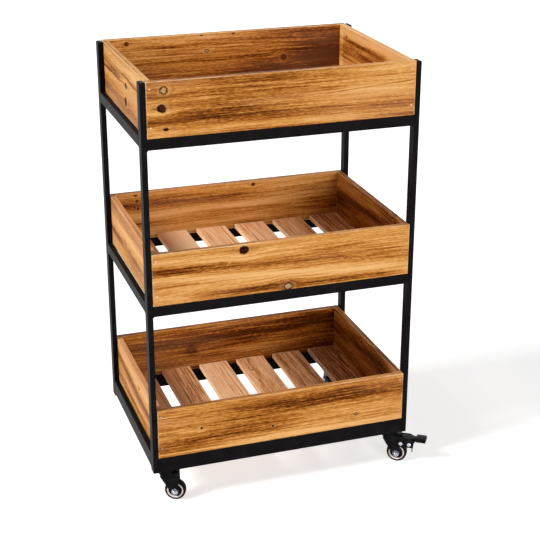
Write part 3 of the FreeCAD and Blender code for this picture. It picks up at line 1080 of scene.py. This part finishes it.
COATINGS = (
    Coating("frame_black", tone(18, 15, 17), tone(24, 21, 23), roughness=0.42, unevenness=0.14,
            mottle=34.0, peel=1300.0, relief=0.02 * MM, specular=0.022),
    Coating("cap_plastic", tone(14, 13, 15), tone(26, 25, 27), roughness=0.46, unevenness=0.16,
            mottle=120.0, peel=1800.0, relief=0.03 * MM, specular=0.03),
    Coating("caster_black", tone(11, 10, 12), tone(23, 21, 24), roughness=0.32, unevenness=0.2,
            mottle=90.0, peel=1500.0, relief=0.02 * MM, specular=0.04),
    Coating("tyre_black", tone(13, 12, 13), tone(27, 25, 26), roughness=0.55, unevenness=0.2,
            mottle=160.0, peel=2600.0, relief=0.03 * MM, specular=0.04),
    Coating("hub_cream", tone(248, 234, 228), tone(228, 208, 200), roughness=0.36, unevenness=0.14,
            mottle=220.0, peel=1900.0, relief=0.02 * MM, specular=0.3),
    # Zinc's darker patches are painted reflections of a dark surround
    Coating("zinc", tone(204, 207, 214), tone(104, 108, 120), roughness=0.24, unevenness=0.2,
            mottle=330.0, peel=2200.0, relief=0.015 * MM, metallic=1.0),
    Coating("fastener_steel", tone(206, 188, 162), tone(164, 146, 122), roughness=0.46, unevenness=0.2,
            mottle=300.0, peel=2400.0, relief=0.015 * MM, metallic=1.0),
)


def cover(node: str, finish: Finish) -> None:
    """Give a CAD node its finish.

    Args:
        node: The node's name.
        finish: The finish.
    """
    for slot in frame["nodes"][node].material_slots:
        slot.material = finish.material
    LOG.info("%s finished with %s", node, finish.slot)


FIGURES = {
    "top_front": Figure(
        (Band(0.030, 0.012, 0.18, 0.02, -0.3, 0.08, 0.08),
         Band(-0.008, 0.015, 0.34, 0.0, -0.21, -0.04, 0.07),
         Band(0.0, 0.06, 0.20, 0.0, -0.18, 0.06, 0.08), Band(-0.024, 0.008, 0.20), Band(0.0, 0.2, 0.07),
         Band(-0.040, 0.006, -0.15, 0.0, -0.3, 0.14), Band(-0.045, 0.004, 0.24, 0.0, 0.16, 0.3),
         Band(-0.0018, 0.0008, 0.55, 0.073, 0.075, 0.24, 0.01),
         Band(0.004, 0.007, -0.22, 0.02, 0.10, 0.3, 0.03), Band(0.030, 0.020, -0.12, 0.0, 0.12, 0.3)),
        (Knot(-0.2140, 0.0329, 0.0066, KnotKind.PALE), Knot(-0.2186, 0.0020, 0.0076, squash=0.9),
         Knot(-0.2113, -0.0345, 0.0050, squash=0.6))),
    "top_back": Figure(
        (Band(0.0105, 0.0012, -0.30, 0.0, -0.23, 0.25),
         Band(0.0215, 0.0025, 0.35, -0.05, -0.165, -0.1, 0.02),
         # Band(0.004, 0.030, 0.55, ...) darkens the right end: partly stain, partly painted shade in the
         # corner
         Band(0.004, 0.030, 0.55, 0.0, 0.15, 0.3, 0.06), Band(-0.012, 0.012, 0.30, 0.0, 0.04, 0.3),
         Band(-0.030, 0.014, 0.24), Band(0.0, 0.09, 0.14)),
        (Knot(-0.199, 0.039, 0.0042, KnotKind.PIN), Knot(-0.042, 0.015, 0.0042, KnotKind.GREY, 0.8),
         Knot(0.115, -0.008, 0.0055, KnotKind.PIN), Knot(-0.052, 0.046, 0.0030, KnotKind.PIN, 0.5),
         Knot(0.012, 0.045, 0.0034, KnotKind.PIN, 0.5), Knot(0.115, 0.047, 0.0034, KnotKind.PIN, 0.6))),
    "top_left": Figure(
        (Band(0.010, 0.008, 0.44, 0.02, 0.02, 0.13), Band(-0.034, 0.008, 0.34, 0.02),
         Band(0.034, 0.012, -0.25), Band(-0.008, 0.009, -0.22, 0.03),
         Band(0.020, 0.004, 0.30, 0.0, -0.13, 0.0)),
        (Knot(-0.025, 0.007, 0.0065), Knot(-0.019, -0.023, 0.0080), Knot(0.030, 0.011, 0.0028))),
    "top_right": Figure(
        (Band(0.027, 0.005, 0.45, -0.02, -0.08, 0.13), Band(0.005, 0.012, 0.32, -0.04),
         Band(0.042, 0.008, -0.2), Band(0.0, 0.2, -0.10), Band(0.0, 0.2, -0.22, 0.0, 0.146, 1.0, 0.003)),
        (Knot(0.128, 0.030, 0.0030, KnotKind.PIN),)),
    "middle_front": Figure(
        (Band(0.003, 0.011, 0.46, -0.045), Band(-0.016, 0.006, -0.22, -0.061), Band(0.034, 0.014, -0.14),
         Band(-0.025, 0.006, 0.22, -0.05, -0.3, -0.13), Band(-0.040, 0.007, 0.48, -0.012, -0.17, 0.22, 0.04),
         Band(0.009, 0.0008, 0.3, 0.0, 0.16, 0.3, 0.02),
         Band(0.1938, 0.0009, -0.6, 1.7, -0.110, -0.098, 0.001)),
        (Knot(-0.0766, 0.0383, 0.0085, squash=0.88), Knot(0.0071, -0.0424, 0.0080, KnotKind.GREY, 0.9))),
    "middle_back": Figure(
        (Band(0.024, 0.008, 0.28, -0.01, -0.3, 0.05), Band(0.0015, 0.008, -0.24, 0.0, -0.3, 0.12, 0.06),
         # The last band darkens the right end: partly stain, partly painted shade in the corner
         Band(-0.016, 0.008, 0.24), Band(-0.034, 0.010, -0.10), Band(0.004, 0.030, 0.30, 0.0, 0.15, 0.3)),
        (Knot(0.051, 0.041, 0.0042, KnotKind.PIN, 0.8), Knot(-0.193, 0.043, 0.0034, KnotKind.PIN, 0.6),
         Knot(-0.191, 0.031, 0.0030, KnotKind.PIN), Knot(-0.196, 0.018, 0.0022, KnotKind.PIN),
         Knot(-0.189, 0.016, 0.0024, KnotKind.PIN))),
    "middle_left": Figure(
        (Band(-0.016, 0.009, 0.45, 0.0, 0.05, 0.16), Band(-0.023, 0.010, 0.55, 0.0, -0.09, 0.0),
         Band(0.034, 0.007, 0.28, 0.03), Band(0.014, 0.009, -0.25), Band(-0.042, 0.007, -0.25)),
        (Knot(0.040, -0.005, 0.0042, KnotKind.PALE), Knot(-0.006, -0.007, 0.0026, KnotKind.PIN))),
    "middle_right": Figure(
        # Band(0.0, 0.2, 0.22) darkens the whole panel: painted shade of the crate above
        (Band(0.012, 0.014, 0.32, -0.1), Band(-0.03, 0.012, 0.2), Band(0.0, 0.2, 0.22)),
        (Knot(-0.135, 0.038, 0.0050, KnotKind.PIN),)),
    "bottom_front": Figure(
        (Band(0.023, 0.012, 0.34, 0.0, -0.06, 0.3, 0.09), Band(-0.016, 0.014, 0.30, 0.06, -0.3, 0.03, 0.09),
         Band(0.028, 0.018, -0.16, 0.0, -0.3, -0.12, 0.06), Band(-0.044, 0.006, -0.22),
         Band(0.0, 0.06, 0.10)),
        (Knot(-0.1612, 0.0009, 0.0024), Knot(0.1472, -0.0224, 0.0036, KnotKind.PALE),
         Knot(-0.0219, -0.0191, 0.0024))),
    "bottom_back": Figure(
        (Band(0.0, 0.08, 0.32), Band(0.020, 0.014, 0.28), Band(-0.014, 0.006, -0.25, 0.0, -0.3, 0.06, 0.08),
         # Band(0.0, 0.1, 0.16, ...) darkens the right end: partly stain, partly painted shade in the corner
         Band(0.0, 0.1, 0.16, 0.0, 0.12, 0.3, 0.08), Band(-0.008, 0.010, 0.34, 0.0, -0.100, -0.074, 0.009),
         Band(0.006, 0.008, 0.24, 0.0, -0.094, -0.084, 0.008)),
        (Knot(-0.074, 0.032, 0.0026, KnotKind.PIN, 0.7),)),
    "bottom_left": Figure(
        (Band(0.006, 0.010, 0.48, 0.08), Band(-0.034, 0.010, 0.36, 0.05), Band(0.036, 0.012, -0.22),
         Band(-0.016, 0.008, -0.22, 0.06)),
        (Knot(-0.030, 0.026, 0.0034, KnotKind.PIN),)),
    "bottom_right": Figure(
        # Band(0.0, 0.2, 0.30) darkens the whole panel: painted shade of the crate above
        (Band(0.014, 0.014, 0.30, -0.06), Band(-0.028, 0.012, 0.24, 0.04), Band(0.0, 0.2, 0.30)),
        (Knot(0.060, -0.012, 0.0042, KnotKind.PIN, 0.7),)),
    "top_slats": Figure(knots=(Knot(0.05, -0.118, 0.0040, KnotKind.PIN),
                               Knot(-0.09, 0.128, 0.0034, KnotKind.PIN))),
    "middle_slats": Figure(knots=(Knot(-0.06, -0.110, 0.0036, KnotKind.PIN),)),
    "bottom_slats": Figure(knots=(Knot(-0.03, -0.033, 0.0042, KnotKind.PIN),
                                  Knot(0.104, 0.028, 0.0028, KnotKind.PIN, 0.7))),
}


@dataclass(frozen=True)
class PanelCut:
    """How the panels on one side of a crate are cut: their lay, their pith line and their blush."""

    lay: Lay
    pith: tuple[float, float]
    blush: float


@dataclass(frozen=True)
class FloorTone:
    """The tone of a slatted floor, and how much painted shade darkens its right end."""

    base: float
    right_painted_shade: float


PANELS = {"front": PanelCut(Lay.LONG_PANEL, (-0.10, 0.045), 0.25),
          "back": PanelCut(Lay.LONG_PANEL, (0.07, 0.06), 0.20),
          "left": PanelCut(Lay.SIDE_PANEL, (-0.02, 0.05), 0.60),
          "right": PanelCut(Lay.SIDE_PANEL, (0.03, -0.06), 0.25)}
# Each floor's base tone, and the painted shade at its right end
FLOORS = {"bottom": FloorTone(0.12, 0.58), "middle": FloorTone(-0.16, 0.42), "top": FloorTone(-0.02, 0.40)}


@dataclass(frozen=True)
class Crate:
    """One wooden crate: four panels and a slatted floor."""

    tier: str
    seed: float
    slats: int = 6
    slat_pith: tuple[float, float] = (0.0, -0.055)
    slat_ring: float = 5.0 * MM
    panel_seed_step: float = 15.0
    floor_seed: float = 59.0

    def dress(self) -> None:
        """Give every board of the crate its own piece of wood."""
        woods = []
        for index, (side, cut) in enumerate(PANELS.items()):
            panel = f"{self.tier}_{side}"
            seed = self.seed + self.panel_seed_step * index
            woods.append(WoodFinish(f"{panel}_panel", cut.lay, seed, Rings(cut.pith), FIGURES[panel],
                                    blush=cut.blush))
        floor, shade = f"{self.tier}_slats", FLOORS[self.tier]
        rings = Rings(self.slat_pith, self.slat_ring)
        woods.append(WoodFinish(floor, Lay.SLAT, self.seed + self.floor_seed, rings, FIGURES[floor],
                                SLAT_STAIN, self.slats, base=shade.base, right_painted_shade=shade.right_painted_shade, cloud=0.28,
                                streak=1.5, lines=0.3, late=0.24, rubbed_and_lit=4.0 * MM))
        for wood in woods:
            cover(wood.node, wood.build())


@dataclass(frozen=True)
class TubeFrame:
    """The black tube frame with its caps, plugs, welds and fasteners."""

    bead_radius: float = 1.5 * MM
    bead_ripple: float = 1.6 * MM
    bead_pinch: float = 0.8
    bead_sides: int = 10
    fewest_ripples: int = 3

    def dress(self, finishes: dict[str, Finish]) -> None:
        """Finish the tubes, their plastic ends, their welds and the crate fasteners.

        Args:
            finishes: Finishes by slot.
        """
        black, plastic = finishes["frame_black"], finishes["cap_plastic"]
        for corner in CORNERS:
            cover(f"{corner}_post", black)
        for tier in TIERS:
            for side in ("front", "rear", "left", "right"):
                cover(f"{tier}_{side}_rail", black)
            self._weld(tier, black)
        cover("corner_plates", black)
        Workpiece.softened("cap_domes", "post_caps").finish(CART_BODY, plastic, "post_caps")
        cover("post_plugs", plastic)
        cover("crate_brads", finishes["fastener_steel"])
        cover("crate_screws", finishes["zinc"])

    def _bead(self, start: Vector, end: Vector) -> Workpiece:
        """One rippled weld bead between two points.

        Args:
            start: Where it starts.
            end: Where it ends.

        Returns:
            The bead.
        """
        run = end - start
        bead = Workpiece.cylinder("bead", self.bead_radius, run.length, self.bead_sides, Axis.Z)
        ripples = max(self.fewest_ripples, round(run.length / self.bead_ripple))
        step = run.length / (2 * ripples)
        bead.pick(Element.EDGE, lambda edge: bead.rise(edge) > run.length / 2)
        bpy.ops.mesh.subdivide(number_cuts=2 * ripples - 1)
        for ring in range(0, 2 * ripples + 1, 2):
            self._pinch(bead, ring * step - run.length / 2, step / 2)
        bpy.ops.object.mode_set(mode="OBJECT")
        turn = UP.rotation_difference(run).to_matrix().to_4x4()
        return bead.put(Matrix.Translation((start + end) / 2) @ turn)

    def _pinch(self, bead: Workpiece, height: float, reach: float) -> None:
        """Draw in the ring of a standing bead whose points are within reach of a height."""
        bead.pick(Element.POINT, lambda point: abs(point.co.z - height) < reach)
        bpy.ops.transform.resize(value=(self.bead_pinch, self.bead_pinch, 1.0))

    def _weld(self, tier: str, black: Finish) -> None:
        """Lay the weld beads where a tier's rails meet the posts.

        Args:
            tier: The tier's name.
            black: The frame's coating.
        """
        runs = []
        for side in ("front", "rear"):
            low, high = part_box(f"{tier}_{side}_rail")
            inner = high.y if side == "front" else low.y
            for x in (low.x, high.x):
                runs.append(((x, inner, low.z), (x, inner, high.z)))
                if tier != TIERS[0]:
                    runs.append(((x, low.y, low.z), (x, high.y, low.z)))
        for side in ("left", "right"):
            low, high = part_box(f"{tier}_{side}_rail")
            for y in (low.y, high.y):
                for z in (low.z, high.z):
                    runs.append(((low.x, y, z), (high.x, y, z)))
        beads = [self._bead(Vector(start), Vector(end)) for start, end in runs]
        welds = beads[0].join(beads[1:])
        welds.item.name = f"{tier}_welds"
        welds.finish(CART_BODY, black)


def mirrored(half: Profile) -> Profile:
    """Close half an outline with its mirror image on the other side of the wheel."""
    return [*half, *((radius, -y) for radius, y in reversed(half))]


@dataclass(frozen=True)
class Caster:
    """One swivel caster: fork, wheel, tyre, hub covers, axle and, on two corners, a foot brake.

    Sizes are in millimetres. Outlines are points of radius and place along the axle.
    """

    corner: str
    fork_half: float = 11.5
    fork_round: float = 0.45
    nut_flats: float = 10.0
    nut_thick: float = 5.0
    head_thick: float = 4.0
    straight_share: float = 0.84
    chamfer: float = 0.88
    bolt_radius: float = 3.0
    bolt_past_nut: float = 1.5
    bolt_in_head: float = 0.5
    bolt_chamfer: float = 0.6
    washer_bore: float = 3.1
    washer_radius: float = 6.2
    rivet_radius: float = 2.5
    rivet_spacing: float = 16.7
    pedal_round: float = 0.4
    pad_from_axle: float = 37.4
    pad_length: float = 20.0
    pad_half_width: float = 11.0
    pad_height: float = 37.0
    rib_count: int = 5
    rib_half: float = 0.8
    rib_margin: float = 1.6
    rib_sunk: float = 0.4
    rib_height: float = 0.7
    rib_round: float = 0.35
    wheel_steps: int = 72
    tyre_steps: int = 96
    washer_steps: int = 48
    rivet_steps: int = 40
    small_steps: int = 36

    @property
    def stand(self) -> Matrix:
        """The wheel's axes: x away from the swivel, y along the axle, from the wheel's middle.

        Returns:
            The place and turn of the wheel.
        """
        joint = JOINTS[self.named("wheel_roll")]
        axle = Vector(joint["axis"])
        turn = Matrix((axle.cross(UP), axle, UP)).transposed().to_4x4()
        return Matrix.Translation(joint["pos_m"]) @ turn

    def named(self, part: str) -> str:
        """The name of a part of this corner's caster."""
        return f"{self.corner}_{part}"

    def dress(self, finishes: dict[str, Finish]) -> None:
        """Model and finish the caster's pieces.

        Args:
            finishes: Finishes by slot.
        """
        swivel, roller, brake = (self.named(body) for body in ("swivel", "roller", "brake"))
        black, zinc, plastic = (finishes[slot] for slot in ("caster_black", "zinc", "cap_plastic"))
        self._shell("fork_shell", "fork", self.fork_round).finish(swivel, black, self.named("fork"))
        self._wheel().finish(roller, finishes["hub_cream"], self.named("wheel"))
        self._tyre().finish(roller, finishes["tyre_black"], self.named("tyre"))
        for side, name in ((-1, "near"), (1, "far")):
            self._hub_cover(name, side).finish(roller, plastic)
        self._bolt().finish(swivel, zinc, self.named("axle"))
        self._nut().finish(swivel, zinc)
        self._insert().finish(swivel, plastic)
        if self.corner in BRAKED:
            self._rivets().finish(swivel, zinc, self.named("brake_rivets"))
            pedal = self._shell("pedal_plate", "brake_pedal", self.pedal_round)
            pedal.finish(brake, black, self.named("brake_pedal"))
            self._pedal_ribs().finish(brake, black)

    def _shell(self, part: str, node: str, width: float) -> Workpiece:
        """A pressed or cast part with its edges rounded by a width."""
        return Workpiece.softened(self.named(part), self.named(node), width * MM)

    def _turned(self, part: str, outline: Profile, steps: int) -> Workpiece:
        """A part that is turned about the axle."""
        return Workpiece.turned(self.named(part), outline, steps).put(self.stand)

    def _wheel(self) -> Workpiece:
        """The moulded wheel centre: hub, web and a rounded pale rim."""
        half = ((3.05, 9.2), (5.5, 9.2), (6.0, 8.7), (6.0, 5.0), (6.5, 4.5), (12.3, 4.5), (12.8, 5.0),
                (13.0, 6.6), (13.3, 7.3), (14.0, 7.8), (14.8, 7.7), (15.3, 7.3), (15.5, 6.6))
        return self._turned("wheel_centre", mirrored(half), self.wheel_steps)

    def _tyre(self) -> Workpiece:
        """The tyre: a bead lip, rounded shoulders, a flat tread and a fine moulding line."""
        half = ((15.53, 7.4), (15.8, 7.9), (16.6, 8.0), (17.0, 7.7), (17.5, 7.75), (18.4, 7.3), (19.2, 6.4),
                (19.7, 5.2), (19.92, 3.6), (20.0, 1.6), (19.98, 0.35), (19.84, 0.12))
        return self._turned("tyre_ring", mirrored(half), self.tyre_steps)

    def _hub_cover(self, name: str, side: int) -> Workpiece:
        """A black dished cover between the hub and the rim.

        Args:
            name: Which side it is on.
            side: -1 for the nut's side, 1 for the bolt head's side.

        Returns:
            The cover.
        """
        dish = ((6.1, 4.6), (6.1, 7.0), (6.5, 7.4), (7.4, 7.3), (8.2, 6.6), (11.4, 5.7), (12.2, 5.9),
                (12.65, 5.5), (12.65, 4.6))
        outline = [(radius, side * y) for radius, y in dish]
        return self._turned(f"hub_cover_{name}", outline, self.wheel_steps)

    def _hexagon(self, name: str, seat: float, thick: float, outward: int) -> Workpiece:
        """A hexagon with a chamfered outer face.

        Args:
            name: The piece's name.
            seat: Where its inner face lies along the axle.
            thick: Its thickness.
            outward: The sign of its outer side.

        Returns:
            The hexagon, about the wheel's own axes.
        """
        radius = self.nut_flats / math.sqrt(3) * MM
        straight = self.straight_share * thick
        piece = Workpiece.cylinder(name, radius, straight * MM, 6, Axis.Y)
        piece.put(Matrix.Translation((0.0, (seat + outward * straight / 2) * MM, 0.0)))
        piece.pick(Element.FACE, lambda face: face.normal.y * outward > FACING)
        rest = Vector((0.0, outward * (thick - straight) * MM, 0.0))
        piece.raise_faces(rest, (self.chamfer, 1.0, self.chamfer))
        return piece

    def _nut(self) -> Workpiece:
        """The axle's lock nut on its washer, with a raised collar.

        Returns:
            The nut.
        """
        seat = -self.fork_half
        outer = seat - self.nut_thick
        bore, wide = self.washer_bore, self.washer_radius
        nut = self._hexagon(self.named("axle_nut"), seat, self.nut_thick, -1)
        collar = ((3.8, outer + 0.5), (4.6, outer + 0.5), (4.6, outer - 0.5), (4.2, outer - 0.9),
                  (3.8, outer - 0.9))
        washer = ((bore, seat + 0.01), (wide, seat + 0.01), (wide + 0.1, seat - 0.4), (wide, seat - 0.8),
                  (bore, seat - 0.8))
        nut.join([Workpiece.turned("collar", collar, self.small_steps),
                  Workpiece.turned("washer", washer, self.washer_steps)])
        return nut.put(self.stand)

    def _insert(self) -> Workpiece:
        """The lock nut's plastic ring, sunk a little into its collar.

        Returns:
            The ring.
        """
        outer = -self.fork_half - self.nut_thick
        ring = ((3.05, outer + 0.4), (3.78, outer + 0.4), (3.78, outer - 0.5), (3.5, outer - 0.65),
                (3.05, outer - 0.6))
        return self._turned("nut_insert", ring, self.small_steps)

    def _bolt(self) -> Workpiece:
        """The axle bolt: hexagon head on one cheek, shank, and a chamfered end past the nut.

        Returns:
            The bolt.
        """
        head = self._hexagon(self.named("axle_bolt"), self.fork_half, self.head_thick, 1)
        near = -self.fork_half - self.nut_thick - self.bolt_past_nut
        far = self.fork_half + self.bolt_in_head
        radius, chamfer = self.bolt_radius, self.bolt_chamfer
        shank = ((0.0, near), (radius - chamfer, near), (radius, near + chamfer), (radius, far), (0.0, far))
        return head.join([Workpiece.turned("shank", shank, self.small_steps)]).put(self.stand)

    def _rivets(self) -> Workpiece:
        """The pivot and stop rivets, with domed heads on both cheeks.

        Returns:
            Both rivets.
        """
        seat = self.fork_half
        half = ((self.rivet_radius, seat), (4.3, seat), (4.25, seat + 0.5), (3.9, seat + 1.3),
                (3.2, seat + 1.95), (2.4, seat + 2.3), (1.8, seat + 2.4), (1.3, seat + 2.1),
                (0.9, seat + 1.2), (0.0, seat + 1.0))
        pivot = Workpiece.turned(self.named("rivet_heads"), mirrored(half), self.rivet_steps)
        stop = Workpiece.copied("stop_rivet", pivot.item)
        stop.put(Matrix.Translation((self.rivet_spacing * MM, 0.0, 0.0)))
        place = Matrix.Translation(JOINTS[self.named("brake_press")]["pos_m"])
        return pivot.join([stop]).put(place @ self.stand.to_3x3().to_4x4())

    def _pedal_ribs(self) -> Workpiece:
        """Raised grip ribs across the pedal's pad.

        Returns:
            The ribs.
        """
        pitch = self.pad_length / (self.rib_count + 1)
        x = self.pad_from_axle + pitch
        y = self.pad_half_width - self.rib_margin
        low = Vector((x - self.rib_half, -y, self.pad_height - self.rib_sunk)) * MM
        high = Vector((x + self.rib_half, y, self.pad_height + self.rib_height)) * MM
        first = Workpiece.block(self.named("pedal_ribs"), low, high)
        first.round_edges(self.rib_round * MM)
        others = []
        for index in range(1, self.rib_count):
            rib = Workpiece.copied("rib", first.item)
            others.append(rib.put(Matrix.Translation((pitch * index * MM, 0.0, 0.0))))
        return first.join(others).put(self.stand)


@dataclass(frozen=True)
class Lamp:
    """A broad soft lamp far away, and the direction that it shines from."""

    name: str
    toward: tuple[float, float, float]
    strength: float
    spread: float

    def hang(self) -> None:
        """Add the lamp to the scene."""
        data = bpy.data.lights.new(self.name, "SUN")
        data.energy = self.strength
        data.angle = math.radians(self.spread)
        lamp = bpy.data.objects.new(self.name, data)
        lamp.location = self.toward
        lamp.rotation_euler = Vector(self.toward).to_track_quat("Z", "Y").to_euler()
        bpy.context.collection.objects.link(lamp)


@dataclass(frozen=True)
class Studio:
    """A pale floor, soft light from the left, the front and weakly from behind, and the camera."""

    eye: tuple[float, float, float] = (-0.7282, -2.2496, 1.3316)
    yaw: float = 18.66
    pitch: float = 22.05
    lens: float = 87.61
    floor_size: float = 14.0
    floor_tone: Colour = tone(232, 232, 232)
    floor_lift: float = 0.6
    surround: Colour = (1.0, 1.0, 1.0, 1.0)
    ambient: float = 0.15
    lamps: tuple[Lamp, ...] = (Lamp("key_light", (-1.0, -0.12, 0.78), 2.7, 16.0),
                               Lamp("fill_light", (0.2, -1.0, 0.17), 2.0, 26.0),
                               Lamp("back_light", (0.75, 0.9, 0.45), 0.7, 60.0))

    def build(self) -> None:
        """Set up the whole studio."""
        bpy.context.scene.view_settings.view_transform = "Standard"
        self._camera()
        self._floor()
        self._world()
        for lamp in self.lamps:
            lamp.hang()

    def _camera(self) -> None:
        """Stand the camera at the photograph's viewpoint."""
        data = bpy.data.cameras.new("camera")
        data.lens = self.lens
        camera = bpy.data.objects.new("camera", data)
        camera.location = self.eye
        camera.rotation_euler = (math.radians(90 - self.pitch), 0.0, math.radians(-self.yaw))
        bpy.context.collection.objects.link(camera)
        bpy.context.scene.camera = camera

    def _seen(self, graph: Graph) -> Value:
        """Tell what is seen straight, in gloss or through glass from what only scatters light.

        Args:
            graph: The graph that asks.

        Returns:
            1 for what is seen, and 0 for scattered light.
        """
        path = graph.node("ShaderNodeLightPath")
        rays = ("Is Camera Ray", "Is Glossy Ray", "Is Transmission Ray")
        straight, gloss, glass = (Value(graph, path.outputs[ray]) for ray in rays)
        return graph.math("MAXIMUM", graph.math("MAXIMUM", straight, gloss), glass)

    def _floor(self) -> None:
        """Lay a pale floor that is white where it is lit and keeps the cart's shadow."""
        bpy.ops.object.select_all(action="DESELECT")
        bpy.ops.mesh.primitive_plane_add(size=self.floor_size)
        floor = bpy.context.active_object
        floor.name = "studio_floor"
        graph = Graph(bpy.data.materials.new("studio_floor"))
        matt = graph.node("ShaderNodeBsdfDiffuse", {}, {"Color": self.floor_tone})
        lift = graph.node("ShaderNodeEmission", {}, {"Strength": self._seen(graph) * self.floor_lift})
        both = graph.node("ShaderNodeAddShader", {}, {0: matt.outputs[0], 1: lift.outputs[0]})
        graph.node("ShaderNodeOutputMaterial", {}, {0: both.outputs[0]})
        floor.data.materials.append(graph.owner)

    def _world(self) -> None:
        """A white surround that lights softly."""
        world = bpy.data.worlds.new("studio_world")
        bpy.context.scene.world = world
        graph = Graph(world)
        strength = self.ambient + self._seen(graph) * (1 - self.ambient)
        backdrop = graph.node("ShaderNodeBackground", {}, {"Color": self.surround, "Strength": strength})
        graph.node("ShaderNodeOutputWorld", {}, {0: backdrop.outputs[0]})


def main() -> None:
    """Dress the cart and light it."""
    logging.basicConfig(level=logging.INFO, format="%(message)s")
    Studio().build()
    finishes = {coating.slot: coating.build() for coating in COATINGS}
    TubeFrame().dress(finishes)
    for index, tier in enumerate(TIERS):
        Crate(tier, CRATE_SEED + CRATE_SEED_STEP * index).dress()
    cups = Workpiece.softened("swivel_cups", "swivel_races")
    cups.finish(CART_BODY, finishes["caster_black"], "swivel_races")
    for node in ("swivel_kingpins", "swivel_balls"):
        cover(node, finishes["zinc"])
    for corner in CORNERS:
        Caster(corner).dress(finishes)


if __name__ == "__main__":
    main()
